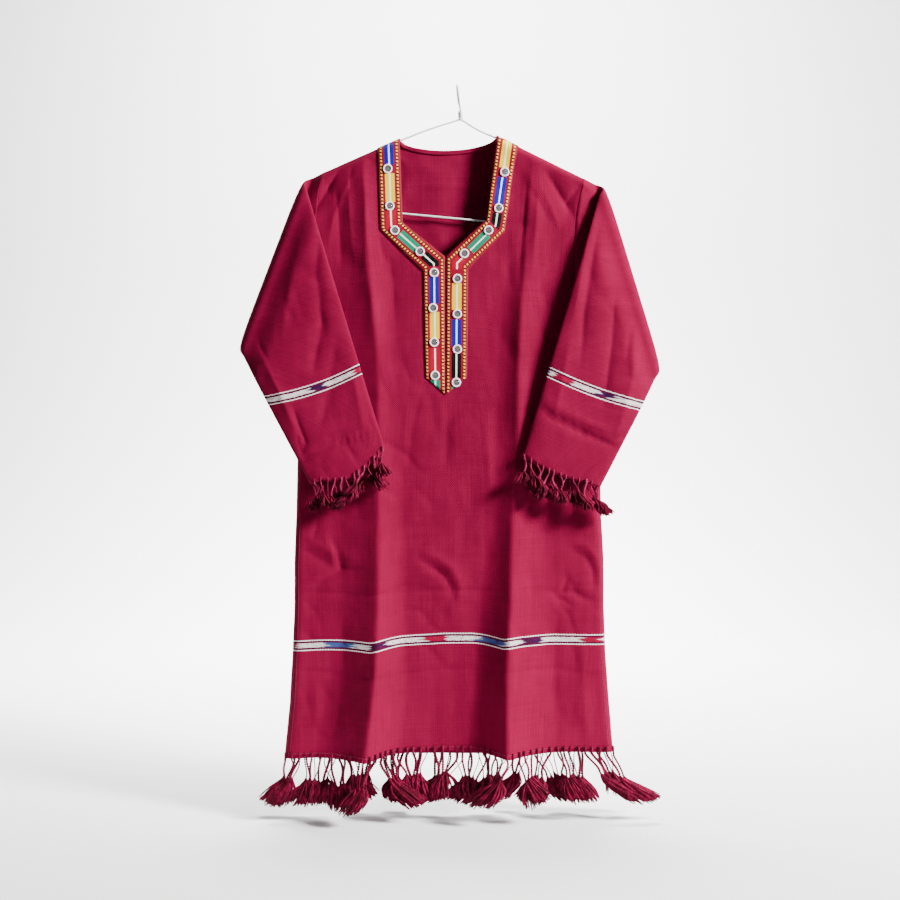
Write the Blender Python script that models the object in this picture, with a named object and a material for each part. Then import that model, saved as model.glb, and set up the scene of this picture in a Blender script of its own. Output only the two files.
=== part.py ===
"""A handloom kurta tunic with ribbons at its neck and fringe at its hem and cuffs, on a wire hanger.

The model is in metres, +Z up, with the tunic's front towards -Y. Its origin is the top of the inside
of the hanger's hook, where a nail or rod holds it. The wire lies in the plane y = 0, the front and the
back meet there along their seams, and both sleeves are folded forward over the front.
Lengths below are in millimetres until a mesh is made.
"""

import math
import random
from collections import namedtuple

import bmesh
import bpy
from mathutils import Vector

MM = 0.001

# Cloth and trim
WALL = 1.4
SEAM_GAP = 0.35
TRIM_WALL = 1.0
BINDING_HEIGHT = 7.0
EDGE_ROUND = 12.0  # how far in from a seam the cloth reaches its full depth
EDGE_STEPS = (0.0, 1.5, 5.0, 12.0)
CREST = 9.0  # half the breadth of a fold's rounded crest
SLIT_GAP = 0.5

# Sleeves
FOLD_RADIUS = 9.0
SLEEVE_GAP = 4.7  # half of the space between a flat sleeve's two layers
FLAP_DEPTH = 31.0  # how far in front of the wire a folded sleeve lies
FLAP_SLOPE = 80.0  # how far in from the fold it reaches that depth
ROOT_STEPS = (0.5,)
BEND_STEPS = (0.0, 0.25, 0.5, 0.75, 1.0)
FLAP_STEPS = (0.1, 0.24, 0.4, 0.56, 0.72, 0.87, 1.0)

# Fringe
STRIP_HEIGHT = 4.0
STRIP_WALL = 2.0
STRIP_GAP = 0.5
ROOT_WIDTH = 3.4
HEM_FRINGE = 82.0
CUFF_FRINGE = 42.0
FRONT_STRANDS = 40
BACK_STRANDS = 34
CUFF_STRANDS = 16
LEAN_LEFT = 26.0
LEAN_RIGHT = 46.0
LEAN_REACH = 110.0

# Hanger
WIRE = 1.5
HOOK_RADIUS = 16.0
TWIST = Vector((5.4, 0.0, -44.0))

Half = namedtuple("Half", "edge_x edge_z trim_x trim_z centre_x centre_z")

# One row for each section of a half of the front, from the shoulder seam down: the armhole or side seam,
# the ribbon's outer edge, and the neck edge or the centre line
FRONT_LEFT = [
    Half(-203.0, -131.0, -122.0, -95.0, -88.0, -80.0),
    Half(-211.0, -159.0, -121.0, -130.0, -86.5, -120.0),
    Half(-215.0, -197.0, -120.0, -176.0, -85.0, -165.0),
    Half(-216.5, -243.0, -118.5, -222.0, -83.0, -211.0),
    Half(-220.0, -285.0, -85.5, -254.0, -51.0, -237.0),
    Half(-229.5, -328.0, -52.5, -286.0, -18.5, -263.0),
    Half(-246.0, -371.0, -51.5, -340.0, -18.5, -330.0),
    Half(-246.5, -420.0, -50.0, -402.0, -18.5, -402.0),
    Half(-246.5, -485.0, -48.5, -448.0, -18.0, -474.0),
    Half(-245.0, -565.0, -50.0, -560.0, -18.0, -562.0),
    Half(-247.0, -656.0, -52.0, -655.0, -18.0, -654.0),
    Half(-249.5, -728.0, -54.0, -727.0, -18.0, -726.0),
    Half(-249.5, -798.0, -56.0, -797.0, -18.0, -796.0),
    Half(-251.5, -868.0, -58.0, -867.0, -18.0, -866.0),
    Half(-255.0, -945.0, -60.0, -943.0, -18.0, -942.0),
    Half(-263.0, -1030.0, -62.0, -1020.0, -18.0, -1018.0),
]
FRONT_RIGHT = [
    Half(194.0, -141.0, 94.0, -92.0, 61.0, -75.5),
    Half(187.5, -168.0, 86.5, -128.0, 55.5, -118.0),
    Half(181.5, -200.0, 80.0, -176.0, 49.5, -164.0),
    Half(178.5, -243.0, 72.5, -226.0, 44.7, -207.0),
    Half(180.5, -285.0, 45.0, -254.0, 14.0, -234.0),
    Half(194.0, -331.0, 17.0, -284.0, -17.5, -263.0),
    Half(225.0, -374.0, 16.5, -340.0, -17.5, -330.0),
    Half(225.5, -420.0, 16.0, -402.0, -17.5, -402.0),
    Half(224.0, -485.0, 15.0, -448.0, -18.0, -474.0),
    Half(219.0, -565.0, 16.0, -560.0, -18.0, -562.0),
    Half(221.0, -656.0, 18.0, -655.0, -18.0, -654.0),
    Half(224.8, -728.0, 20.0, -727.0, -18.0, -726.0),
    Half(224.8, -798.0, 21.0, -797.0, -18.0, -796.0),
    Half(227.0, -868.0, 22.0, -867.0, -18.0, -866.0),
    Half(232.5, -945.0, 23.0, -943.0, -18.0, -942.0),
    Half(238.5, -1020.0, 24.0, -1018.0, -18.0, -1018.0),
]
ARMPIT = 6
RIBBON_END = 8  # the ribbons' points, which also close the slit
SLIT_TOP = 10
HEM = 15
ARMHOLE_ROWS = (0.0, 0.055, 0.18, 0.45, 1.0, 2.0, 3.0, 4.0, 5.0, 5.45, 5.74, 5.89, 5.968, 6.0)
BODY_ROWS = (6.5, 7.0, 7.5, 8.0, 9.0, 10.0, 11.0, 12.0, 13.0, 14.0, 15.0)

Depth = namedtuple("Depth", "z front back slit_edge")
DEPTHS = [
    Depth(-80.0, 13.0, 11.0, 0.0),
    Depth(-371.0, 13.0, 11.0, 0.0),
    Depth(-656.0, 14.0, 12.0, 0.0),
    Depth(-860.0, 17.0, 15.0, 5.0),
    Depth(-1030.0, 20.0, 18.0, 8.0),
]

Fold = namedtuple("Fold", "z left_x right_x height width")
FRONT_FOLDS = [
    Fold(-80.0, -144.0, 118.0, 0.0, 30.0),
    Fold(-200.0, -139.0, 108.0, 2.0, 35.0),
    Fold(-330.0, -130.0, 98.0, 3.0, 40.0),
    Fold(-430.0, -120.0, 94.0, 4.0, 42.0),
    Fold(-560.0, -120.0, 92.0, 6.0, 46.0),
    Fold(-656.0, -120.0, 84.0, 12.0, 54.0),
    Fold(-790.0, -120.0, 81.0, 20.0, 60.0),
    Fold(-900.0, -123.0, 75.0, 30.0, 66.0),
    Fold(-1030.0, -138.0, 75.0, 38.0, 74.0),
]
BACK_FOLDS = [
    Fold(-80.0, -140.0, 125.0, 0.0, 40.0),
    Fold(-430.0, -105.0, 95.0, 1.0, 44.0),
    Fold(-656.0, -92.0, 86.0, 7.0, 56.0),
    Fold(-860.0, -96.0, 96.0, 18.0, 66.0),
    Fold(-1046.0, -108.0, 104.0, 30.0, 74.0),
]
HEM_DIP = 0.12  # how much lower a fold hangs, as a share of its height
BACK_NECK_DROP = 18.5
BACK_MIDDLE = -13.5
BACK_TRIM_NARROWS = 0.72  # how far in from the neck's ends the same columns lie at the hem
BACK_HEM_DROP = 14.0
BACK_SPREAD = 4.0  # how far the back stands out past the front at the left of the hem
BACK_INNER_STEPS = (0.0, 0.045, 0.16, 0.5, 1.0)
FRONT_INNER_STEPS = (0.0, 0.5, 1.0)

Sleeve = namedtuple("Sleeve", "tip elbow root_top root_foot flap_top flap_foot cuff_inner cuff_outer bulge")

# tip and elbow are the ends of the fold, as (x, z). root_top to flap_foot are distances along the fold from
# its tip, where the sleeve's upper and lower edges reach it and leave it. bulge is how far the cuff's edge
# hangs below a straight line.
SLEEVES = {
    "left": Sleeve(
        tip=(-240.0, -149.5),
        elbow=(-338.0, -406.5),
        root_top=-15.0,
        root_foot=261.0,
        flap_top=9.0,
        flap_foot=279.0,
        cuff_inner=(-110.5, -556.0),
        cuff_outer=(-221.0, -612.0),
        bulge=20.0,
    ),
    "right": Sleeve(
        tip=(228.0, -154.0),
        elbow=(315.5, -440.5),
        root_top=-8.0,
        root_foot=284.0,
        flap_top=12.0,
        flap_foot=303.0,
        cuff_inner=(99.5, -569.5),
        cuff_outer=(216.0, -616.0),
        bulge=7.0,
    ),
}

Hanging = namedtuple("Hanging", "length lean")
Strand = namedtuple("Strand", "along width wall")
HEM_STRAND = [
    Strand(0.05, 3.0, 2.4),
    Strand(0.5, 3.0, 2.6),
    Strand(0.78, 8.6, 5.0),
    Strand(1.0, 5.0, 3.4),
]
CUFF_STRAND = [
    Strand(0.3, 3.2, 2.6),
    Strand(0.7, 6.0, 3.6),
    Strand(1.0, 4.0, 3.0),
]

CLOTH = ((0.33, 0.045, 0.11), 0.85, 0.0)
RIBBON = ((0.42, 0.05, 0.12), 0.7, 0.0)
FRINGE = ((0.17, 0.02, 0.06), 0.9, 0.0)
HANGER = ((0.85, 0.85, 0.86), 0.35, 0.0)


def clamp(value, low=0.0, high=1.0):
    return min(max(value, low), high)


def mix(a, b, t):
    return a + (b - a) * t


def smooth(t):
    t = clamp(t)
    return t * t * (3.0 - 2.0 * t)


def between(first, second, t):
    """The row that lies a share t of the way between two rows of a table."""
    return type(first)(*(mix(a, b, t) for a, b in zip(first, second)))


def at_section(rows, section):
    index = min(int(section), len(rows) - 2)
    return between(rows[index], rows[index + 1], section - index)


def at_height(rows, z):
    for upper, lower in zip(rows, rows[1:]):
        if z >= lower.z:
            return between(upper, lower, clamp((upper.z - z) / (upper.z - lower.z)))
    return rows[-1]


def rounding(distance):
    """A quarter circle: 0 on a seam, 1 from EDGE_ROUND inwards."""
    return math.sqrt(1.0 - (1.0 - clamp(distance / EDGE_ROUND)) ** 2)


def side_distance(x, z):
    """How far a point lies inside the nearer side seam, or from the armpit above it."""
    nearest = math.inf
    for rows in (FRONT_LEFT, FRONT_RIGHT):
        armpit = rows[ARMPIT]
        if z >= armpit.edge_z:
            distance = math.hypot(x - armpit.edge_x, z - armpit.edge_z)
        else:
            distance = abs(x - side_x(rows, z))
            if abs(x) > abs(side_x(rows, z)) and x * armpit.edge_x > 0:
                distance = 0.0
        nearest = min(nearest, distance)
    return nearest


def side_x(rows, z):
    for upper, lower in zip(rows[ARMPIT:], rows[ARMPIT + 1 :]):
        if z >= lower.edge_z:
            return mix(upper.edge_x, lower.edge_x, (upper.edge_z - z) / (upper.edge_z - lower.edge_z))
    return rows[-1].edge_x


def shoulder_distance(x, z):
    nearest = math.inf
    for rows in (FRONT_LEFT, FRONT_RIGHT):
        tip = Vector((rows[0].edge_x, rows[0].edge_z))
        along = Vector((rows[0].centre_x, rows[0].centre_z)) - tip
        offset = Vector((x, z)) - tip
        share = clamp(offset.dot(along) / along.length_squared)
        nearest = min(nearest, (offset - along * share).length)
    return nearest


def fold_height(folds, x, z):
    """How far the nearer soft fold stands out of the cloth."""
    fold = at_height(folds, z)
    height = 0.0
    for centre in (fold.left_x, fold.right_x):
        away = math.hypot((x - centre) / fold.width, 0.16) - 0.16
        height = max(height, fold.height * (1.0 - clamp(away)) ** 1.7)
    return height


def cloth_depth(x, z, is_front):
    """How far the front or the back lies from the plane of the seams."""
    depths = at_height(DEPTHS, z)
    full = depths.front if is_front else depths.back
    full += fold_height(FRONT_FOLDS if is_front else BACK_FOLDS, x, z)
    edge = depths.slit_edge
    return (edge + (full - edge) * rounding(side_distance(x, z))) * rounding(shoulder_distance(x, z))


def panel_point(x, z, is_front):
    depth = cloth_depth(x, z, is_front) + SEAM_GAP / 2
    return Vector((x, -depth if is_front else depth, z))


def back_neck_z(x):
    left = FRONT_LEFT[0]
    right = FRONT_RIGHT[0]
    share = (x - left.centre_x) / (right.centre_x - left.centre_x)
    straight = mix(left.centre_z, right.centre_z, share)
    return straight - BACK_NECK_DROP * max(0.0, 1.0 - (2.0 * share - 1.0) ** 2) ** 0.6


def back_half(section, rows):
    """The back's row at a section: the front's side seam, and columns from the neck and from its middle."""
    front = at_section(rows, section)
    top = rows[0]
    low = smooth((section - SLIT_TOP) / (HEM - SLIT_TOP))
    edge_x = front.edge_x - (BACK_SPREAD * low if front.edge_x < 0 else 0.0)
    edge_z = front.edge_z - BACK_HEM_DROP * low
    below_armpit = max(section, ARMPIT)
    level = (at_section(FRONT_LEFT, below_armpit).edge_z + at_section(FRONT_RIGHT, below_armpit).edge_z) / 2
    level -= BACK_HEM_DROP * low
    share = clamp((top.edge_z - edge_z) / (top.edge_z - rows[ARMPIT].edge_z))
    trim_x = mix(top.centre_x, top.centre_x * BACK_TRIM_NARROWS, smooth(section / HEM))
    trim_z = mix(top.centre_z, level, share)
    centre_z = mix(back_neck_z(BACK_MIDDLE), level, share)
    return Half(edge_x, edge_z, trim_x, trim_z, BACK_MIDDLE, centre_z)


def back_neck_curve(section, rows, step):
    """How far a column of the back lies off a straight row, because the neck above it is round."""
    top = rows[0]
    straight = mix(top.centre_z, back_neck_z(BACK_MIDDLE), step)
    curved = back_neck_z(mix(top.centre_x, BACK_MIDDLE, step))
    return (curved - straight) * (1.0 - smooth(section / ARMPIT))


def half_row(half, folds, inner_steps):
    """The (x, z) points of one row, from the side of a panel to its centre."""
    inward = 1.0 if half.edge_x < 0 else -1.0
    fold = at_height(folds, (half.edge_z + half.trim_z) / 2)
    crest = fold.left_x if half.edge_x < 0 else fold.right_x
    room = min(CREST, abs(half.trim_x - crest) * 0.4)
    outer = half.edge_x + inward * EDGE_STEPS[-1]
    near = crest - inward * CREST
    xs = [half.edge_x + inward * step for step in EDGE_STEPS]
    xs += [mix(outer, near, 0.33), mix(outer, near, 0.67), near, crest, crest + inward * room]
    xs += [mix(crest + inward * room, half.trim_x, t) for t in (0.33, 0.67)]
    run = half.trim_x - half.edge_x
    points = [(x, mix(half.edge_z, half.trim_z, (x - half.edge_x) / run)) for x in xs]
    for t in inner_steps:
        points.append((mix(half.trim_x, half.centre_x, t), mix(half.trim_z, half.centre_z, t)))
    return points


TRIM_COLUMN = len(EDGE_STEPS) + 7  # the number of columns between a panel's side and trim_x


def sections():
    return ARMHOLE_ROWS + BODY_ROWS


def hem_dip(x, z, section, folds):
    return HEM_DIP * fold_height(folds, x, z) * clamp(section - (HEM - 2))


class Surface:
    """The middle of a sheet of cloth: its points, its faces as lists of point numbers, and its normals."""

    def __init__(self):
        self.points = []
        self.faces = []
        self.normals = []

    def add(self, point):
        self.points.append(Vector(point))
        return len(self.points) - 1

    def add_grid(self, rows, flip):
        """Quads between rows of point numbers."""
        for upper, lower in zip(rows, rows[1:]):
            for a, b, c, d in zip(upper, upper[1:], lower[1:], lower):
                corners = [a, b, c, d]
                self.faces.append(corners[::-1] if flip else corners)

    def find_normals(self):
        self.normals = [Vector((0.0, 0.0, 0.0)) for _ in self.points]
        for face in self.faces:
            a, b, c, d = (self.points[index] for index in face)
            normal = (c - a).cross(d - b)
            for index in face:
                self.normals[index] += normal
        for normal in self.normals:
            normal.normalize()

    def border(self):
        """The edges that only one face uses, in that face's order."""
        once = {}
        for face in self.faces:
            for a, b in zip(face, face[1:] + face[:1]):
                once[(a, b)] = True
        return [(a, b) for a, b in once if (b, a) not in once]


def make_object(name, points, faces, look):
    mesh = bpy.data.meshes.new(name)
    mesh.from_pydata([point * MM for point in points], [], faces)
    work = bmesh.new()
    work.from_mesh(mesh)
    bmesh.ops.recalc_face_normals(work, faces=work.faces)
    bmesh.ops.triangulate(work, faces=work.faces)
    work.to_mesh(mesh)
    work.free()
    mesh.shade_smooth()
    mesh.set_sharp_from_angle(angle=math.radians(45))
    thing = bpy.data.objects.new(name, mesh)
    bpy.context.collection.objects.link(thing)
    set_material(thing, look)
    return thing


def set_material(thing, look):
    colour, roughness, metallic = look
    material = bpy.data.materials.new(thing.name)
    material.use_nodes = True
    shader = material.node_tree.nodes["Principled BSDF"]
    shader.inputs["Base Color"].default_value = (*colour, 1.0)
    shader.inputs["Roughness"].default_value = roughness
    shader.inputs["Metallic"].default_value = metallic
    thing.data.materials.append(material)


def make_sheet(name, surface, wall, look):
    """A wall of even thickness about a surface, closed along its border."""
    count = len(surface.points)
    outer = [p + n * (wall / 2) for p, n in zip(surface.points, surface.normals)]
    inner = [p - n * (wall / 2) for p, n in zip(surface.points, surface.normals)]
    faces = list(surface.faces)
    faces += [[index + count for index in face[::-1]] for face in surface.faces]
    faces += [[b, a, a + count, b + count] for a, b in surface.border()]
    return make_object(name, outer + inner, faces, look)


def seam_normal(rows):
    """Straight up from a shoulder seam, in the plane of the seams."""
    along = Vector((rows[0].centre_x - rows[0].edge_x, 0.0, rows[0].centre_z - rows[0].edge_z))
    normal = Vector((-along.z, 0.0, along.x)).normalized()
    return normal if normal.z > 0 else -normal


def side_normal(rows):
    return Vector((-1.0 if rows[0].edge_x < 0 else 1.0, 0.0, 0.0))


def build_front():
    """The front's surface, and its rows of point numbers for each half."""
    surface = Surface()
    halves = {}
    shared = {}
    for side, table in (("left", FRONT_LEFT), ("right", FRONT_RIGHT)):
        rows = []
        for section in sections():
            half = at_section(table, section)
            row = []
            for x, z in half_row(half, FRONT_FOLDS, FRONT_INNER_STEPS):
                low = z - hem_dip(x, z, section, FRONT_FOLDS)
                row.append(panel_point(x, low, True))
            numbers = [surface.add(point) for point in row[:-1]]
            if section < RIBBON_END:
                numbers.append(surface.add(row[-1]))
            else:
                if section not in shared:
                    shared[section] = surface.add(row[-1])
                numbers.append(shared[section])
            rows.append(numbers)
        surface.add_grid(rows, flip=side == "left")
        halves[side] = rows
    finish_normals(surface, halves, TRIM_COLUMN + len(FRONT_INNER_STEPS))
    return surface, halves


def build_back():
    surface = Surface()
    halves = {}
    shared = {}
    for side, table in (("left", FRONT_LEFT), ("right", FRONT_RIGHT)):
        rows = []
        for section in sections():
            half = back_half(section, table)
            row = []
            for column, (x, z) in enumerate(half_row(half, BACK_FOLDS, BACK_INNER_STEPS)):
                low = z - hem_dip(x, z, section, BACK_FOLDS)
                if column > TRIM_COLUMN:
                    low += back_neck_curve(section, table, BACK_INNER_STEPS[column - TRIM_COLUMN])
                row.append(panel_point(x, low, False))
            numbers = [surface.add(point) for point in row[:-1]]
            if section not in shared:
                shared[section] = surface.add(row[-1])
            numbers.append(shared[section])
            rows.append(numbers)
        surface.add_grid(rows, flip=side == "right")
        halves[side] = rows
    finish_normals(surface, halves, TRIM_COLUMN + 1)
    return surface, halves


def finish_normals(surface, halves, on_seam):
    """Normals that lie in the plane of the seams along every seam, so that the two walls meet face to face.

    on_seam is how many columns of the top row lie on the shoulder seam.
    """
    surface.find_normals()
    for side, table in (("left", FRONT_LEFT), ("right", FRONT_RIGHT)):
        rows = halves[side]
        for number in rows[0][:on_seam]:
            surface.normals[number] = seam_normal(table)
        for section, row in zip(sections(), rows):
            if ARMPIT <= section < SLIT_TOP:
                surface.normals[row[0]] = side_normal(table)


def armhole_loop(front, back, side):
    """The numbers of the points round an armhole: down the front, then up the back."""
    count = len(ARMHOLE_ROWS)
    down = [front[1][side][row][0] for row in range(count)]
    up = [back[1][side][row][0] for row in range(count - 2, 0, -1)]
    return down, up


def flat_gap(share):
    """Half the space between a flat sleeve's layers, as a share of the most: 0 at both of its edges."""
    return (1.0 - abs(2.0 * share - 1.0) ** 6) ** 0.5


def build_sleeve(side, front, back):
    """A flat tube from the armhole to the cuff, folded forward about the line from its tip to its elbow."""
    shape = SLEEVES[side]
    table = FRONT_LEFT if side == "left" else FRONT_RIGHT
    down, up = armhole_loop(front, back, side)
    loop = [front[0].points[number].copy() for number in down]
    loop += [back[0].points[number].copy() for number in up]
    for end in (0, len(down) - 1):
        loop[end].y = 0.0
    last = len(down) - 1
    shares = [row / ARMPIT for row in ARMHOLE_ROWS]
    shares += shares[-2:0:-1]
    layers = [-1.0] * (last + 1) + [1.0] * (len(loop) - last - 1)

    tip = Vector((shape.tip[0], 0.0, shape.tip[1]))
    elbow = Vector((shape.elbow[0], 0.0, shape.elbow[1]))
    along = (elbow - tip).normalized()
    outward = Vector((-along.z, 0.0, along.x))
    if outward.x * table[0].edge_x < 0:
        outward = -outward
    tip -= outward * (FOLD_RADIUS + SLEEVE_GAP + WALL / 2)

    def fold_point(share, layer, turn):
        """A point in the bend. turn goes from 0, behind, to 1, in front."""
        top = mix(shape.root_top, shape.flap_top, turn)
        foot = mix(shape.root_foot, shape.flap_foot, turn)
        radius = FOLD_RADIUS + layer * SLEEVE_GAP * flat_gap(share)
        angle = math.pi * turn
        place = tip + along * mix(top, foot, share) + outward * (radius * math.sin(angle))
        place.y = radius * math.cos(angle) - FOLD_RADIUS
        return place

    def flap_point(share, layer, reach):
        start = fold_point(share, layer, 1.0)
        inner = Vector((shape.cuff_inner[0], 0.0, shape.cuff_inner[1]))
        outer = Vector((shape.cuff_outer[0], 0.0, shape.cuff_outer[1]))
        end = inner.lerp(outer, share)
        end.z -= shape.bulge * math.sin(math.pi * clamp(share * 1.15)) * (1.0 if layer > 0 else 0.6)
        place = Vector((mix(start.x, end.x, reach), start.y, mix(start.z, end.z, reach)))
        in_from_fold = (tip - place).dot(outward)
        place.y -= (FLAP_DEPTH - 2 * FOLD_RADIUS) * smooth(in_from_fold / FLAP_SLOPE)
        return place

    surface = Surface()
    rings = [[surface.add(point) for point in loop]]
    for step in ROOT_STEPS:
        ring = []
        for point, share, layer in zip(loop, shares, layers):
            ring.append(surface.add(point.lerp(fold_point(share, layer, 0.0), step)))
        rings.append(ring)
    for turn in BEND_STEPS:
        rings.append([surface.add(fold_point(s, layer, turn)) for s, layer in zip(shares, layers)])
    for reach in FLAP_STEPS:
        rings.append([surface.add(flap_point(s, layer, reach)) for s, layer in zip(shares, layers)])
    closed = [ring + ring[:1] for ring in rings]
    surface.add_grid(closed, flip=side == "left")
    surface.find_normals()
    part_at_armhole(surface, rings, front, back, side)
    return surface, rings


def part_at_armhole(surface, rings, front, back, side_name):
    """Gives both sides of the armhole seam the same normals, and moves the sleeve's edge clear of it."""
    down, up = armhole_loop(front, back, side_name)
    panels = [(front[0], number) for number in down] + [(back[0], number) for number in up]
    last = len(down) - 1
    count = len(rings[0])
    common = []
    for place, (panel, number) in enumerate(panels):
        normal = surface.normals[rings[0][place]] + panel.normals[number]
        if place in (0, last):
            normal.y = 0.0
        common.append(normal.normalized())
    moved = []
    for place, number in enumerate(rings[0]):
        before = surface.points[rings[0][place - 1]]
        after = surface.points[rings[0][(place + 1) % count]]
        side = (after - before).cross(common[place]).normalized()
        if side.dot(surface.points[rings[1][place]] - surface.points[number]) < 0:
            side = -side
        moved.append(surface.points[number] + side * SEAM_GAP)
    for place, number in enumerate(rings[0]):
        surface.points[number] = moved[place]
        surface.normals[number] = common[place]
        panel, panel_number = panels[place]
        panel.normals[panel_number] = common[place].copy()
    for place in (0, last):
        twin = back[1][side_name][place][0]
        back[0].normals[twin] = common[place].copy()


def build_ribbon(side, front):
    """The front's own points between the ribbon's edges, moved out."""
    surface = Surface()
    lift = WALL / 2 + SEAM_GAP + TRIM_WALL / 2
    rows = []
    for section, row in zip(sections(), front[1][side]):
        if section > RIBBON_END:
            break
        numbers = []
        middle = FRONT_LEFT[HEM].centre_x
        for number in row[TRIM_COLUMN:]:
            point = front[0].points[number] + front[0].normals[number] * lift
            if side == "left":
                point.x = min(point.x, middle - SLIT_GAP)
            else:
                point.x = max(point.x, middle + SLIT_GAP)
            numbers.append(surface.add(point))
        rows.append(numbers)
    surface.add_grid(rows, flip=side == "left")
    surface.find_normals()
    table = FRONT_LEFT if side == "left" else FRONT_RIGHT
    for number in rows[0]:
        surface.normals[number] = seam_normal(table)
    return surface


def build_binding(back):
    """A strip inside the back neck, made from the back's top row."""
    surface = Surface()
    drop = WALL / 2 + SEAM_GAP + TRIM_WALL / 2
    rows = [[], []]
    first = TRIM_COLUMN + 1
    numbers = back[1]["left"][0][first:] + back[1]["right"][0][first:-1][::-1]
    for number in numbers:
        top = back[0].points[number]
        rows[0].append(surface.add(top + Vector((0.0, -drop, 0.0))))
        rows[1].append(surface.add(top + Vector((0.0, -drop, -BINDING_HEIGHT))))
    surface.add_grid(rows, flip=True)
    surface.find_normals()
    return surface


def strip_marks(strands, pitch, closed):
    """Places along a strip, each with whether a strand's root starts there."""
    marks = [(0.0, False)]
    for strand in range(strands):
        middle = (strand + 0.5) * pitch
        marks.append((middle - ROOT_WIDTH / 2, True))
        marks.append((middle + ROOT_WIDTH / 2, False))
        if closed or strand == strands - 1:
            marks.append(((strand + 1) * pitch, False))
    return marks[:-1] if closed else marks


def point_along(path, lengths, distance):
    """The point, the normal and the direction at a distance along a path of (point, normal) pairs."""
    step = max(index for index, length in enumerate(lengths[:-1]) if length <= distance + 1e-6)
    (a, first), (b, second) = path[step], path[step + 1]
    share = clamp((distance - lengths[step]) / (lengths[step + 1] - lengths[step]))
    return a.lerp(b, share), first.lerp(second, share).normalized(), (b - a).normalized()


def hang_strand(points, faces, root, strand, profile):
    """A four-sided strand of rings below its root, which is a face of the strip."""
    middle = sum((points[number] for number in root), Vector()) / 4
    across = (points[root[3]] - points[root[0]] + points[root[2]] - points[root[1]]).normalized()
    through = (points[root[0]] - points[root[1]]).normalized()
    for row in profile:
        centre = middle + Vector((0.0, 0.0, -strand.length * row.along)) + strand.lean * row.along**1.4
        half_x = across * row.width / 2
        half_y = through * row.wall / 2
        ring = list(range(len(points), len(points) + 4))
        points += [centre - half_x + half_y, centre - half_x - half_y]
        points += [centre + half_x - half_y, centre + half_x + half_y]
        for k in range(4):
            following = (k + 1) % 4
            faces.append([root[k], root[following], ring[following], ring[k]])
        root = ring
    faces.append(root)


def build_fringe(name, path, closed, strands, length, profile, hang, lean, seed):
    """A narrow strip just past a cloth's edge, with strands that hang from its lower face."""
    chance = random.Random(seed)
    path = path + path[:1] if closed else path
    lengths = [0.0]
    for (a, _), (b, _) in zip(path, path[1:]):
        lengths.append(lengths[-1] + (b - a).length)
    marks = strip_marks(strands, lengths[-1] / strands, closed)
    points = []
    for distance, _ in marks:
        point, normal, along = point_along(path, lengths, distance)
        down = normal.cross(along).normalized()
        if down.dot(hang) < 0:
            down = -down
        half = normal * (STRIP_WALL / 2)
        top = point + down * STRIP_GAP
        foot = top + down * STRIP_HEIGHT
        points += [top - half, top + half, foot + half, foot - half]
    faces = []
    count = len(marks)
    for mark in range(count if closed else count - 1):
        a = 4 * mark
        b = 4 * ((mark + 1) % count)
        for k in (0, 1, 3):
            following = (k + 1) % 4
            faces.append([a + k, a + following, b + following, b + k])
        root = [a + 2, a + 3, b + 3, b + 2]
        if marks[mark][1]:
            middle = (points[a + 2] + points[b + 3]) / 2
            sway = Vector((chance.uniform(-1.2, 1.2), chance.uniform(-0.4, 0.4), 0.0))
            strand = Hanging(length * chance.uniform(0.93, 1.06), lean(middle) + sway)
            hang_strand(points, faces, root, strand, profile)
        else:
            faces.append(root)
    if not closed:
        end = 4 * (count - 1)
        faces.append([0, 1, 2, 3])
        faces.append([end + 3, end + 2, end + 1, end])
    return make_object(name, points, faces, FRINGE)


def hem_path(panel):
    """The hem's points and normals, from left to right."""
    surface, halves = panel
    numbers = halves["left"][-1] + halves["right"][-1][-2::-1]
    return [(surface.points[number], surface.normals[number]) for number in numbers]


def hem_lean(point):
    """Strands near the hem's corners sweep outwards."""
    left = smooth((FRONT_LEFT[HEM].edge_x + LEAN_REACH - point.x) / LEAN_REACH)
    right = smooth((point.x - FRONT_RIGHT[HEM].edge_x + LEAN_REACH) / LEAN_REACH)
    return Vector((LEAN_RIGHT * right - LEAN_LEFT * left, 0.0, 0.0))


def no_lean(point):
    return Vector((0.0, 0.0, 0.0))


def build_cuff_fringe(side, sleeve, seed):
    surface, rings = sleeve
    path = [(surface.points[number], surface.normals[number]) for number in rings[-1]]
    before = [surface.points[number] for number in rings[-2]]
    hang = sum((point - old for (point, _), old in zip(path, before)), Vector()).normalized()
    name = f"cuff_fringe_{side}"
    build_fringe(name, path, True, CUFF_STRANDS, CUFF_FRINGE, CUFF_STRAND, hang, no_lean, seed)


def wire_curve(name, points, radii):
    """A round wire through a list of points, with closed ends."""
    curve = bpy.data.curves.new(name, "CURVE")
    curve.dimensions = "3D"
    curve.bevel_depth = WIRE * MM
    curve.bevel_resolution = 2
    curve.use_fill_caps = True
    spline = curve.splines.new("POLY")
    spline.points.add(len(points) - 1)
    for knot, point, radius in zip(spline.points, points, radii):
        knot.co = (*(point * MM), 1.0)
        knot.radius = radius
    thing = bpy.data.objects.new(name, curve)
    bpy.context.collection.objects.link(thing)
    mesh = bpy.data.meshes.new_from_object(thing)
    bpy.data.objects.remove(thing)
    wire = bpy.data.objects.new(name, mesh)
    bpy.context.collection.objects.link(wire)
    return wire


def rounded(corners, radius, steps):
    """A route through corners, each rounded by an arc-like curve."""
    route = [corners[0]]
    for before, corner, after in zip(corners, corners[1:], corners[2:]):
        reach = min(radius, (corner - before).length * 0.45, (after - corner).length * 0.45)
        start = corner + (before - corner).normalized() * reach
        end = corner + (after - corner).normalized() * reach
        for index in range(steps + 1):
            t = index / steps
            route.append(start.lerp(corner, t).lerp(corner.lerp(end, t), t))
    route.append(corners[-1])
    return route


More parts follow.
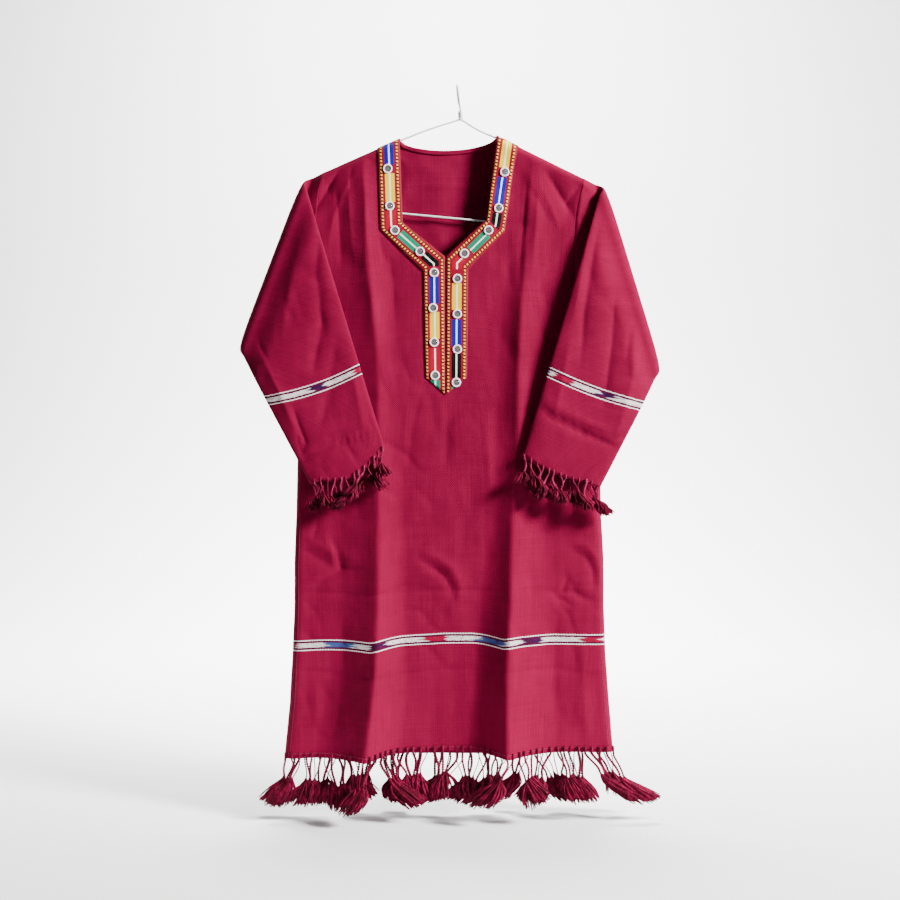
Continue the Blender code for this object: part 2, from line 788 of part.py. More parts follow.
def under_seam(rows, x):
    """A point of the hanger's arm, just below a shoulder seam."""
    tip = rows[0]
    slope = (tip.centre_z - tip.edge_z) / (tip.centre_x - tip.edge_x)
    clear = (WALL / 2 + 0.4 + WIRE) * math.hypot(1.0, slope)
    return Vector((x, 0.0, tip.edge_z + slope * (x - tip.edge_x) - clear))


def build_hanger():
    """The hook and its twisted neck, joined to a wire that runs down an arm, along the bar and back."""
    hook = [Vector((TWIST.x, 0.0, TWIST.z - 6.0 + 2.0 * step)) for step in range(9)]
    radii = [1.5, 2.2, 1.7, 2.3, 1.7, 2.3, 1.7, 1.4, 1.0]
    lean = TWIST.x / -TWIST.z
    centre_z = WIRE - HOOK_RADIUS
    for degrees in range(238, -31, -14):
        angle = math.radians(degrees)
        z = centre_z + HOOK_RADIUS * math.sin(angle)
        hook.append(Vector((-z * lean, HOOK_RADIUS * math.cos(angle), z)))
        radii.append(1.0)
    hook_wire = wire_curve("hanger", hook, radii)

    corners = [
        TWIST + Vector((-0.5, 0.0, -4.0)),
        Vector((-47.0, 0.0, -66.5)),
        under_seam(FRONT_LEFT, -88.0),
        under_seam(FRONT_LEFT, -207.0),
        Vector((-206.0, 0.0, -183.5)),
        Vector((196.0, 0.0, -221.0)),
        under_seam(FRONT_RIGHT, 200.0),
        under_seam(FRONT_RIGHT, 61.0),
        Vector((34.0, 0.0, -68.0)),
        TWIST + Vector((0.5, 0.0, -4.0)),
    ]
    route = rounded(corners, 16.0, 4)
    frame = wire_curve("hanger_frame_cutter", route, [1.0] * len(route))
    frame.hide_render = True
    frame.display_type = "WIRE"
    join = hook_wire.modifiers.new("join", "BOOLEAN")
    join.operation = "UNION"
    join.object = frame
    hook_wire.data.shade_smooth()
    set_material(hook_wire, HANGER)


def main():
    for thing in list(bpy.data.objects):
        bpy.data.objects.remove(thing)
    front = build_front()
    back = build_back()
    sleeves = {side: build_sleeve(side, front, back) for side in SLEEVES}
    make_sheet("front_panel", front[0], WALL, CLOTH)
    make_sheet("back_panel", back[0], WALL, CLOTH)
    for seed, (side, sleeve) in enumerate(sleeves.items()):
        make_sheet(f"sleeve_{side}", sleeve[0], WALL, CLOTH)
        make_sheet(f"neck_ribbon_{side}", build_ribbon(side, front), TRIM_WALL, RIBBON)
        build_cuff_fringe(side, sleeve, seed)
    make_sheet("back_neck_binding", build_binding(back), TRIM_WALL, CLOTH)
    down = Vector((0.0, 0.0, -1.0))
    hems = (("front", front, FRONT_STRANDS), ("back", back, BACK_STRANDS))
    for seed, (side, panel, strands) in enumerate(hems, start=10):
        name = f"hem_fringe_{side}"
        path = hem_path(panel)
        build_fringe(name, path, False, strands, HEM_FRINGE, HEM_STRAND, down, hem_lean, seed)
    build_hanger()


main()
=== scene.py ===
# %% [markdown]
# # A handloom kurta on a wire hanger
# A kurta is a long, straight tunic. This one is woven in maroon cotton twill, with a ribbon of satin bars
# and small round mirrors at its neck, ikat bands and fringe at its hem and on its sleeves.
# The packed model already says how large each piece is and where it hangs. Every piece below is made on
# the same named sizes, only with a finer grid, and then gets the creases, the stitches and the yarn.

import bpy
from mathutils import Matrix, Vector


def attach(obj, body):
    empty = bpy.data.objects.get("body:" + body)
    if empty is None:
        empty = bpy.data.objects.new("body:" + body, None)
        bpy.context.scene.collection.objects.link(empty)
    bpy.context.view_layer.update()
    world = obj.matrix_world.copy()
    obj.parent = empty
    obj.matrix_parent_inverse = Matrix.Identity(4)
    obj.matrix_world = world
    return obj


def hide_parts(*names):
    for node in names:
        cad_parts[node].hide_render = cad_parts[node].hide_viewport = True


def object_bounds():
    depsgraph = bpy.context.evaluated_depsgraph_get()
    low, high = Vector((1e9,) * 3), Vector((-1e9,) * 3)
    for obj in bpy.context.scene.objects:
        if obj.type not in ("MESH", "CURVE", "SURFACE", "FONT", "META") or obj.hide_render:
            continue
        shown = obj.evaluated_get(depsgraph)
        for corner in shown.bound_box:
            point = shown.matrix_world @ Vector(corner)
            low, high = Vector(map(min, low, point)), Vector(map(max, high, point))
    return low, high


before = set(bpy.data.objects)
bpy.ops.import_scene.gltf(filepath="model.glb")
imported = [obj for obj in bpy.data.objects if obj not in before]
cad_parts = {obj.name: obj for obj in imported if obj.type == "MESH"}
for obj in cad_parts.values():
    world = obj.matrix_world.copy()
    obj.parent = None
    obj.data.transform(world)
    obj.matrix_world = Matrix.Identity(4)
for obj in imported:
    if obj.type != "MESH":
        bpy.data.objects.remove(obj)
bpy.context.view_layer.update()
print("nodes:", ", ".join(sorted(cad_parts)))

# %% Other modules, and what is empty at the start
import math
import random
from collections import namedtuple

import bmesh
import bpy
from mathutils import Matrix, Vector, noise

bpy.ops.object.select_all(action="DESELECT")
MM = 0.001  # all sizes below are in millimetres until a mesh is made
print("everything is deselected")

# %% [markdown]
# ## The camera
# The photograph was taken straight from the front, level with the tunic's middle, so its sides show no
# slant. A camera on the level with a normal lens gives the same view, and it comes first, because
# everything that follows is judged through it.

# %% Place the camera
CAMERA_PLACE = Vector((-0.011, -1.925, -0.559))
view = bpy.data.cameras.new("level_view")
view.lens = 50.0
view.sensor_width = 36.0
camera = bpy.data.objects.new("level_view", view)
camera.location = CAMERA_PLACE
camera.rotation_euler = (math.radians(90.0), 0.0, 0.0)
bpy.context.collection.objects.link(camera)
bpy.context.scene.camera = camera
print("camera is", round(-CAMERA_PLACE.y, 3), "m in front of the hanger")

# %% [markdown]
# ## The pattern pieces
# A tailor draws a tunic as a few lines on flat cloth. These tables are those lines: each row crosses one
# half of the front from its armhole or side seam, past the outer edge of the ribbon, to the neck or the
# centre. The back follows the same side seams. Lengths are measured from the hanger's hook.

# %% The front's lines
Half = namedtuple("Half", "edge_x edge_z trim_x trim_z centre_x centre_z")
FRONT_LEFT = [
    Half(-203.0, -131.0, -122.0, -95.0, -88.0, -80.0),
    Half(-211.0, -159.0, -121.0, -130.0, -86.5, -120.0),
    Half(-215.0, -197.0, -120.0, -176.0, -85.0, -165.0),
    Half(-216.5, -243.0, -118.5, -222.0, -83.0, -211.0),
    Half(-220.0, -285.0, -85.5, -254.0, -51.0, -237.0),
    Half(-229.5, -328.0, -52.5, -286.0, -18.5, -263.0),
    Half(-246.0, -371.0, -51.5, -340.0, -18.5, -330.0),
    Half(-246.5, -420.0, -50.0, -402.0, -18.5, -402.0),
    Half(-246.5, -485.0, -48.5, -448.0, -18.0, -474.0),
    Half(-245.0, -565.0, -50.0, -560.0, -18.0, -562.0),
    Half(-247.0, -656.0, -52.0, -655.0, -18.0, -654.0),
    Half(-249.5, -728.0, -54.0, -727.0, -18.0, -726.0),
    Half(-249.5, -798.0, -56.0, -797.0, -18.0, -796.0),
    Half(-251.5, -868.0, -58.0, -867.0, -18.0, -866.0),
    Half(-255.0, -945.0, -60.0, -943.0, -18.0, -942.0),
    Half(-263.0, -1030.0, -62.0, -1020.0, -18.0, -1018.0),
]
FRONT_RIGHT = [
    Half(194.0, -141.0, 94.0, -92.0, 61.0, -75.5),
    Half(187.5, -168.0, 86.5, -128.0, 55.5, -118.0),
    Half(181.5, -200.0, 80.0, -176.0, 49.5, -164.0),
    Half(178.5, -243.0, 72.5, -226.0, 44.7, -207.0),
    Half(180.5, -285.0, 45.0, -254.0, 14.0, -234.0),
    Half(194.0, -331.0, 17.0, -284.0, -17.5, -263.0),
    Half(225.0, -374.0, 16.5, -340.0, -17.5, -330.0),
    Half(225.5, -420.0, 16.0, -402.0, -17.5, -402.0),
    Half(224.0, -485.0, 15.0, -448.0, -18.0, -474.0),
    Half(219.0, -565.0, 16.0, -560.0, -18.0, -562.0),
    Half(221.0, -656.0, 18.0, -655.0, -18.0, -654.0),
    Half(224.8, -728.0, 20.0, -727.0, -18.0, -726.0),
    Half(224.8, -798.0, 21.0, -797.0, -18.0, -796.0),
    Half(227.0, -868.0, 22.0, -867.0, -18.0, -866.0),
    Half(232.5, -945.0, 23.0, -943.0, -18.0, -942.0),
    Half(238.5, -1020.0, 24.0, -1018.0, -18.0, -1018.0),
]
HALVES = {"left": FRONT_LEFT, "right": FRONT_RIGHT}
CENTRE = -18.0  # the middle of the front, in millimetres from the hook
ARMPIT = 6  # the numbers of the rows where the armhole and the ribbons end, the slits start and the hem is
RIBBON_END = 8
SLIT_TOP = 10
HEM = 15
print("rows in each half:", len(FRONT_LEFT))

# %% How far the cloth stands out, and its largest folds
Depth = namedtuple("Depth", "z front back slit_edge")
DEPTHS = [
    Depth(-80.0, 13.0, 11.0, 0.0),
    Depth(-371.0, 13.0, 11.0, 0.0),
    Depth(-656.0, 14.0, 12.0, 0.0),
    Depth(-860.0, 17.0, 15.0, 5.0),
    Depth(-1030.0, 20.0, 18.0, 8.0),
]
Fold = namedtuple("Fold", "z left_x right_x height width")
FRONT_FOLDS = [
    Fold(-80.0, -144.0, 118.0, 0.0, 30.0),
    Fold(-200.0, -139.0, 108.0, 4.5, 37.0),
    Fold(-330.0, -130.0, 98.0, 7.5, 41.0),
    Fold(-430.0, -120.0, 94.0, 8.0, 44.0),
    Fold(-560.0, -120.0, 92.0, 8.5, 48.0),
    Fold(-656.0, -120.0, 84.0, 13.0, 54.0),
    Fold(-790.0, -120.0, 81.0, 20.0, 60.0),
    Fold(-900.0, -123.0, 75.0, 30.0, 66.0),
    Fold(-1030.0, -138.0, 75.0, 38.0, 74.0),
]
BACK_FOLDS = [
    Fold(-80.0, -140.0, 125.0, 0.0, 40.0),
    Fold(-430.0, -105.0, 95.0, 1.0, 44.0),
    Fold(-656.0, -92.0, 86.0, 7.0, 56.0),
    Fold(-860.0, -96.0, 96.0, 18.0, 66.0),
    Fold(-1046.0, -108.0, 104.0, 30.0, 74.0),
]
CREST = 0.05  # how rounded the crest of a fold is, as a share of its width
INWARD = 0.7  # a fold falls steeply towards the middle of the cloth
OUTWARD = 1.1  # and slowly towards its side
FOLD_FALL = 1.7  # the higher this is, the more a fold's flanks sag
HEM_DIP = 0.12  # a fold hangs lower at the hem by this share of its height
EDGE_ROUND = 12.0  # the cloth turns over this near to a seam
SEAM_GAP = 0.35  # between front and back along their seams
SEAM_SLACK = 1.0  # this close to the shoulder's line, front and back are sewn to each other
WALL = 1.2  # the thickness of the cloth
print("deepest fold at the front's hem:", FRONT_FOLDS[-1].height, "mm")

# %% [markdown]
# ## Creases
# Cloth that was folded in a drawer keeps its press lines, and cloth that hangs from two points pulls into
# soft troughs towards them. A simulation would put such creases anywhere, so each one is given as a line
# with a height and a breadth. A negative height is a trough, and a small breadth is a sharp press line.
# Only the small wrinkles and the soft unevenness between them come from noise.

# %% The creases of the front, the back and the sleeves
Crease = namedtuple("Crease", "height width line")
FRONT_CREASES = [
    Crease(-4.6, 6.0, [(-166, -112), (-186, -138), (-205, -170), (-226, -206)]),
    Crease(2.2, 8.0, [(-150, -122), (-172, -160), (-190, -205), (-198, -250)]),
    Crease(-2.2, 8.0, [(-186, -150), (-181, -210), (-176, -280)]),
    Crease(1.8, 8.0, [(-168, -140), (-164, -200), (-160, -262)]),
    Crease(4.4, 16.0, [(-148, -104), (-141, -165), (-139, -275), (-130, -330), (-121, -410)]),
    Crease(-2.2, 9.0, [(-104, -262), (-98, -310), (-96, -372)]),
    Crease(-4.2, 6.0, [(134, -132), (150, -156), (166, -182), (180, -206)]),
    Crease(-2.8, 5.0, [(162, -188), (176, -170), (192, -150)]),
    Crease(1.8, 7.0, [(124, -150), (142, -184), (158, -226)]),
    Crease(-3.4, 9.0, [(107, -140), (103, -200), (98, -262), (96, -326)]),
    Crease(2.6, 10.0, [(124, -160), (120, -225), (114, -300)]),
    Crease(2.8, 15.0, [(98, -318), (94, -400), (92, -480), (92, -560)]),
    Crease(-2.0, 4.0, [(-16, -478), (-15, -540), (-17, -592)]),
    Crease(-2.0, 12.0, [(-56, -470), (-68, -520), (-78, -610)]),
    Crease(1.8, 12.0, [(44, -500), (50, -600), (46, -700)]),
    Crease(-2.0, 3.4, [(-262, -774), (-190, -778), (-120, -779), (-60, -775), (0, -773), (80, -774)]),
    Crease(-2.2, 3.4, [(78, -775), (130, -774), (176, -776), (200, -786), (238, -796)]),
    Crease(-1.8, 3.2, [(-266, -893), (-190, -900), (-122, -906), (-40, -895), (30, -892)]),
    Crease(-1.7, 3.2, [(20, -892), (90, -895), (150, -893), (240, -906)]),
    Crease(-3.8, 4.2, [(-62, -724), (-38, -738), (-18, -752), (-8, -770), (-8, -794)]),
    Crease(3.0, 6.0, [(-58, -712), (-30, -724), (-8, -740), (3, -764), (2, -790)]),
    Crease(-2.6, 5.0, [(172, -712), (196, -722), (208, -744), (209, -776)]),
    Crease(2.0, 5.0, [(176, -700), (200, -708), (216, -730), (218, -764)]),
    Crease(-2.8, 3.4, [(142, -776), (154, -784), (178, -799)]),
    Crease(-2.4, 3.4, [(169, -752), (164, -766), (159, -780)]),
    Crease(2.0, 7.0, [(-240, -688), (-190, -716), (-146, -724)]),
    Crease(-2.4, 7.0, [(-244, -706), (-195, -735), (-146, -743)]),
    Crease(-2.0, 12.0, [(-176, -800), (-173, -900), (-186, -1010)]),
    Crease(1.6, 12.0, [(-210, -820), (-214, -920), (-222, -1016)]),
    Crease(-2.2, 13.0, [(152, -800), (148, -920), (152, -1012)]),
    Crease(1.8, 10.0, [(190, -830), (193, -930), (199, -1012)]),
    Crease(-2.2, 14.0, [(-42, -850), (-32, -940), (-38, -1016)]),
    Crease(1.8, 12.0, [(10, -840), (16, -930), (10, -1016)]),
    Crease(-2.8, 4.4, [(-194, -691), (-180, -721), (-176, -742), (-200, -755), (-223, -772)]),
    Crease(2.2, 6.0, [(-206, -684), (-192, -716), (-188, -736), (-212, -748), (-232, -764)]),
    Crease(-1.8, 3.4, [(-128, -784), (-88, -767), (-38, -766)]),
    Crease(-1.8, 4.0, [(-225, -640), (-214, -668), (-222, -700)]),
]
BACK_CREASES = [
    Crease(-1.3, 2.6, [(-60, -151), (0, -150), (48, -151)]),
    Crease(-1.1, 2.6, [(-52, -146), (-52, -185), (-53, -230)]),
    Crease(-2.0, 10.0, [(-26, -120), (-30, -180), (-24, -260)]),
    Crease(-4.0, 7.0, [(-164, -114), (-188, -148), (-222, -206)]),
    Crease(-3.8, 7.0, [(132, -132), (154, -170), (180, -208)]),
    Crease(-3.2, 13.0, [(-112, -150), (-98, -260), (-92, -370)]),
    Crease(-3.0, 13.0, [(86, -150), (78, -260), (76, -360)]),
    Crease(-1.8, 3.4, [(-262, -560), (-100, -556), (60, -558), (236, -563)]),
    Crease(-2.0, 3.4, [(-264, -776), (-140, -772), (0, -777), (110, -772), (236, -781)]),
    Crease(1.6, 4.0, [(-14, -190), (-13, -420), (-15, -640), (-13, -920)]),
    Crease(2.4, 7.0, [(26, -692), (62, -716), (84, -742), (89, -784)]),
    Crease(-2.8, 5.0, [(20, -706), (54, -730), (72, -768)]),
    Crease(-2.4, 7.0, [(-232, -636), (-180, -664), (-134, -668)]),
    Crease(-2.4, 13.0, [(-30, -850), (-26, -940), (-32, -1026)]),
    Crease(-2.2, 13.0, [(162, -800), (158, -920), (166, -1016)]),
    Crease(-2.0, 12.0, [(-182, -800), (-184, -910), (-194, -1016)]),
]
SLEEVE_CREASES = {
    "left": [
        Crease(-3.8, 3.4, [(-262, -584), (-236, -575), (-188, -549), (-150, -540), (-100, -526)]),
        Crease(-3.0, 4.5, [(-250, -490), (-240, -520), (-229, -548), (-238, -570)]),
        Crease(-3.2, 8.0, [(-204, -350), (-210, -395), (-220, -445)]),
        Crease(-2.2, 4.5, [(-306, -384), (-300, -400), (-288, -422)]),
        Crease(2.2, 8.0, [(-250, -566), (-190, -545), (-120, -518)]),
        Crease(-2.4, 8.0, [(-206, -200), (-214, -290), (-200, -400)]),
        Crease(2.4, 10.0, [(-232, -210), (-250, -290), (-266, -390)]),
        Crease(-2.2, 11.0, [(-180, -380), (-192, -450), (-210, -530)]),
        Crease(3.2, 8.0, [(-300, -410), (-270, -470), (-240, -540)]),
        Crease(2.0, 7.0, [(-160, -440), (-150, -480), (-142, -530)]),
    ],
    "right": [
        Crease(-3.6, 3.6, [(118, -490), (140, -508), (170, -523), (205, -540), (252, -560)]),
        Crease(2.2, 7.0, [(120, -478), (166, -503), (205, -521), (250, -538)]),
        Crease(-4.6, 9.0, [(224, -180), (206, -260), (192, -350), (186, -440)]),
        Crease(5.0, 20.0, [(254, -230), (272, -320), (276, -400), (258, -480), (236, -550)]),
        Crease(2.2, 9.0, [(200, -220), (188, -290), (174, -370)]),
        Crease(-3.8, 9.0, [(240, -310), (234, -400), (220, -500)]),
        Crease(-2.4, 5.0, [(276, -350), (262, -385), (256, -425)]),
        Crease(2.0, 9.0, [(170, -390), (160, -450), (144, -520)]),
        Crease(2.2, 8.0, [(262, -330), (270, -390), (262, -450)]),
    ],
}
print("creases placed by hand:", len(FRONT_CREASES) + len(BACK_CREASES))


# %% Small sums that every piece uses
def clamp(value, low=0.0, high=1.0):
    return min(max(value, low), high)


def mix(a, b, t):
    return a + (b - a) * t


def smooth(t):
    t = clamp(t)
    return t * t * (3.0 - 2.0 * t)


def between(first, second, t):
    """The row that lies a share t of the way between two rows of a table."""
    return type(first)(*(mix(a, b, t) for a, b in zip(first, second)))


def at_section(rows, section):
    index = min(int(section), len(rows) - 2)
    return between(rows[index], rows[index + 1], section - index)


def at_height(rows, z):
    for upper, lower in zip(rows, rows[1:]):
        if z >= lower.z:
            return between(upper, lower, clamp((upper.z - z) / (upper.z - lower.z)))
    return rows[-1]


print("halfway down the front's left side:", at_section(FRONT_LEFT, 7.5).edge_x, "mm")


# %% Distances to the seams
def rounding(distance):
    """A quarter circle: 0 on a seam, 1 from EDGE_ROUND inwards."""
    return math.sqrt(1.0 - (1.0 - clamp(distance / EDGE_ROUND)) ** 2)


def side_x(rows, z):
    for upper, lower in zip(rows[ARMPIT:], rows[ARMPIT + 1 :]):
        if z >= lower.edge_z:
            return mix(upper.edge_x, lower.edge_x, (upper.edge_z - z) / (upper.edge_z - lower.edge_z))
    return rows[-1].edge_x


def side_distance(x, z):
    """How far a point lies inside the nearer side seam, or from the armpit above it."""
    nearest = math.inf
    for rows in HALVES.values():
        armpit = rows[ARMPIT]
        if z >= armpit.edge_z:
            distance = math.hypot(x - armpit.edge_x, z - armpit.edge_z)
        else:
            seam = side_x(rows, z)
            beyond = abs(x) > abs(seam) and x * armpit.edge_x > 0
            distance = 0.0 if beyond else abs(x - seam)
        nearest = min(nearest, distance)
    return nearest


def shoulder_distance(x, z):
    """How far a point lies below the nearer shoulder seam."""
    nearest = math.inf
    for rows in HALVES.values():
        tip = Vector((rows[0].edge_x, rows[0].edge_z))
        along = Vector((rows[0].centre_x, rows[0].centre_z)) - tip
        offset = Vector((x, z)) - tip
        share = clamp(offset.dot(along) / along.length_squared)
        nearest = min(nearest, max(0.0, (offset - along * share).length - SEAM_SLACK))
    return nearest


print("from the navel to the side seam:", round(side_distance(0.0, -700.0)), "mm")


# %% The height of folds, creases and soft unevenness
def fold_height(folds, x, z):
    """How far the nearer soft fold stands out of the cloth."""
    fold = at_height(folds, z)
    height = 0.0
    for centre in (fold.left_x, fold.right_x):
        width = fold.width * (OUTWARD if (x - centre) * centre > 0 else INWARD)
        away = math.hypot((x - centre) / width, CREST) - CREST
        height = max(height, fold.height * (1.0 - clamp(away)) ** FOLD_FALL)
    return height


CREASE_ROUND = 1.0  # no crease is sharper than this, in millimetres
CREASE_REACH = 4.5  # a crease has died away this many breadths from its line


def crease_height(creases, x, z):
    """The sum of all the creases at a point. Each one dies away at both of its ends."""
    total = 0.0
    for crease in creases:
        reach = CREASE_REACH * crease.width
        xs = [point[0] for point in crease.line]
        zs = [point[1] for point in crease.line]
        if not min(xs) - reach < x < max(xs) + reach or not min(zs) - reach < z < max(zs) + reach:
            continue
        pieces = len(crease.line) - 1
        best = math.inf
        along = 0.0
        for number, ((ax, az), (bx, bz)) in enumerate(zip(crease.line, crease.line[1:])):
            dx = bx - ax
            dz = bz - az
            share = clamp(((x - ax) * dx + (z - az) * dz) / (dx * dx + dz * dz))
            distance = math.hypot(x - ax - dx * share, z - az - dz * share)
            if distance < best:
                best = distance
                along = (number + share) / pieces
        ends = 1.0 - abs(2.0 * along - 1.0) ** 3
        away = (math.hypot(best, CREASE_ROUND) - CREASE_ROUND) / crease.width
        total += crease.height * ends * math.exp(-away)
    return total


WRINKLE_DEPTH = 1.5
WRINKLE_SHARP = 8.0
FRONT_SEED = 1.0  # the front, the back and the sleeves each have an unevenness of their own
BACK_SEED = 5.0
SLEEVE_SEED = 11.0
# each swell's height, its size across and down the cloth, and what its seed differs by
SWELLS = ((2.0, 95.0, 170.0, 0.0), (1.1, 34.0, 60.0, 7.3), (0.4, 13.0, 30.0, 3.1))
SOFT_FROM_SIDE = 26.0  # the cloth is taut at its seams: unevenness and creases grow over these distances
CREASED_FROM_SIDE = 8.0
LOOSE_FROM_SHOULDER = 22.0


def wrinkles(x, z, seed):
    """Thin troughs that wander over parts of the cloth, as in a tunic that lay folded."""
    line = noise.noise(Vector(((x + 0.35 * z) / 46.0, (z - 0.2 * x) / 62.0, seed + 20.5)))
    patch = noise.noise(Vector((x / 120.0, z / 120.0, seed + 31.7)))
    away = math.hypot(line, 0.05) - 0.05
    return -WRINKLE_DEPTH * math.exp(-WRINKLE_SHARP * away) * smooth(0.55 + 1.6 * patch)


def unevenness(x, z, seed):
    """Low swells that keep a large flat area of cloth from looking like a board."""
    total = 0.0
    for height, across, down, other in SWELLS:
        total += height * noise.noise(Vector((x / across, z / down, seed + other)))
    return total + wrinkles(x, z, seed)


def settle(share):
    """How a folded sleeve leaves its bend: quickly at first, then almost flat."""
    return 0.6 * smooth(2.2 * share) + 0.4 * smooth(share)


def cloth_depth(x, z, is_front):
    """How far the front or the back lies from the plane of the seams."""
    depths = at_height(DEPTHS, z)
    side = side_distance(x, z)
    shoulder = shoulder_distance(x, z)
    folds = fold_height(FRONT_FOLDS if is_front else BACK_FOLDS, x, z)
    full = (depths.front if is_front else depths.back) + folds
    base = (depths.slit_edge + (full - depths.slit_edge) * rounding(side)) * rounding(shoulder)
    creases = crease_height(FRONT_CREASES if is_front else BACK_CREASES, x, z)
    soft = unevenness(x, z, FRONT_SEED if is_front else BACK_SEED) * smooth(side / SOFT_FROM_SIDE)
    return base + (creases * smooth(side / CREASED_FROM_SIDE) + soft) * smooth(shoulder / LOOSE_FROM_SHOULDER)


def panel_point(x, z, is_front):
    depth = cloth_depth(x, z, is_front) + SEAM_GAP / 2
    return Vector((x, -depth if is_front else depth, z))


print("the front's depth over its left fold:", round(cloth_depth(-120.0, -900.0, True), 1), "mm")

# %% [markdown]
# ## From lines to a sheet
# A sheet starts as rows of points with no thickness. Its faces are the squares between the rows, and a
# Solidify modifier then gives it a wall. Each point also gets a place on the flat cloth, in metres, which
# becomes the UV map: the weave and the ikat are drawn in that flat space, so they follow every fold.


# %% Make a sheet of cloth
class Sheet:
    """Rows of points, with a flat place for each, that become one mesh."""

    def __init__(self):
        self.points = []
        self.flat = []
        self.faces = []

    def add(self, point, flat):
        self.points.append(Vector(point))
        self.flat.append(flat)
        return len(self.points) - 1

    def add_grid(self, rows, flip):
        for upper, lower in zip(rows, rows[1:]):
            for a, b, c, d in zip(upper, upper[1:], lower[1:], lower):
                self.faces.append((d, c, b, a) if flip else (a, b, c, d))

    def normals(self):
        found = [Vector((0.0, 0.0, 0.0)) for _ in self.points]
        for a, b, c, d in self.faces:
            normal = (self.points[c] - self.points[a]).cross(self.points[d] - self.points[b])
            for index in (a, b, c, d):
                found[index] += normal
        return [normal.normalized() for normal in found]


def apply_modifiers(piece):
    bpy.ops.object.select_all(action="DESELECT")
    bpy.context.view_layer.objects.active = piece
    piece.select_set(True)
    for modifier in list(piece.modifiers):
        bpy.ops.object.modifier_apply(modifier=modifier.name)
    piece.select_set(False)


def make_piece(name, points, faces, material, flat=None):
    """A mesh in metres with a UV map. flat holds a place for each point, or for each corner of a face."""
    mesh = bpy.data.meshes.new(name)
    mesh.from_pydata([Vector(point) * MM for point in points], [], faces)
    if flat:
        layer = mesh.uv_layers.new(name="flat_cloth")
        by_corner = len(flat) == len(mesh.loops)
        for loop in mesh.loops:
            layer.data[loop.index].uv = flat[loop.index if by_corner else loop.vertex_index]
    mesh.shade_smooth()
    mesh.materials.append(material)
    piece = bpy.data.objects.new(name, mesh)
    bpy.context.collection.objects.link(piece)
    return piece


SAME_POINT = 0.00002  # a tube's two long edges lie closer than this, in metres


def make_cloth(name, sheet, wall, material, is_tube=False):
    piece = make_piece(name, sheet.points, sheet.faces, material, sheet.flat)
    if is_tube:
        weld = piece.modifiers.new("close_tube", "WELD")
        weld.merge_threshold = SAME_POINT
    solid = piece.modifiers.new("wall", "SOLIDIFY")
    solid.thickness = wall * MM
    solid.offset = 0.0
    solid.use_quality_normals = not is_tube
    apply_modifiers(piece)
    print(f"{name}: {len(piece.data.polygons)} faces")
    return piece


# %% [markdown]
# ## Shader sums
# A material is easier to read as a line of arithmetic than as a web of nodes. This small class holds a
# node's output, and its operators add a Math node for each sum. Colours are mixed with a node of their
# own, because a Math node would turn them grey.


# %% Arithmetic on sockets
class Value:
    """The output of a shader node, which can be added, multiplied and so on."""

    def __init__(self, shader, socket):
        self.shader = shader
        self.socket = socket

    def sum(self, operation, *others):
        return self.shader.maths(operation, self, *others)

    def __add__(self, other):
        return self.sum("ADD", other)

    def __sub__(self, other):
        return self.sum("SUBTRACT", other)

    def __mul__(self, other):
        return self.sum("MULTIPLY", other)

    def __truediv__(self, other):
        return self.sum("DIVIDE", other)

    def __gt__(self, other):
        return self.sum("GREATER_THAN", other)

    def __lt__(self, other):
        return self.sum("LESS_THAN", other)

    def __rsub__(self, other):
        return self.shader.maths("SUBTRACT", other, self)

    def __rtruediv__(self, other):
        return self.shader.maths("DIVIDE", other, self)

    def __abs__(self):
        return self.sum("ABSOLUTE")

    __radd__ = __add__
    __rmul__ = __mul__


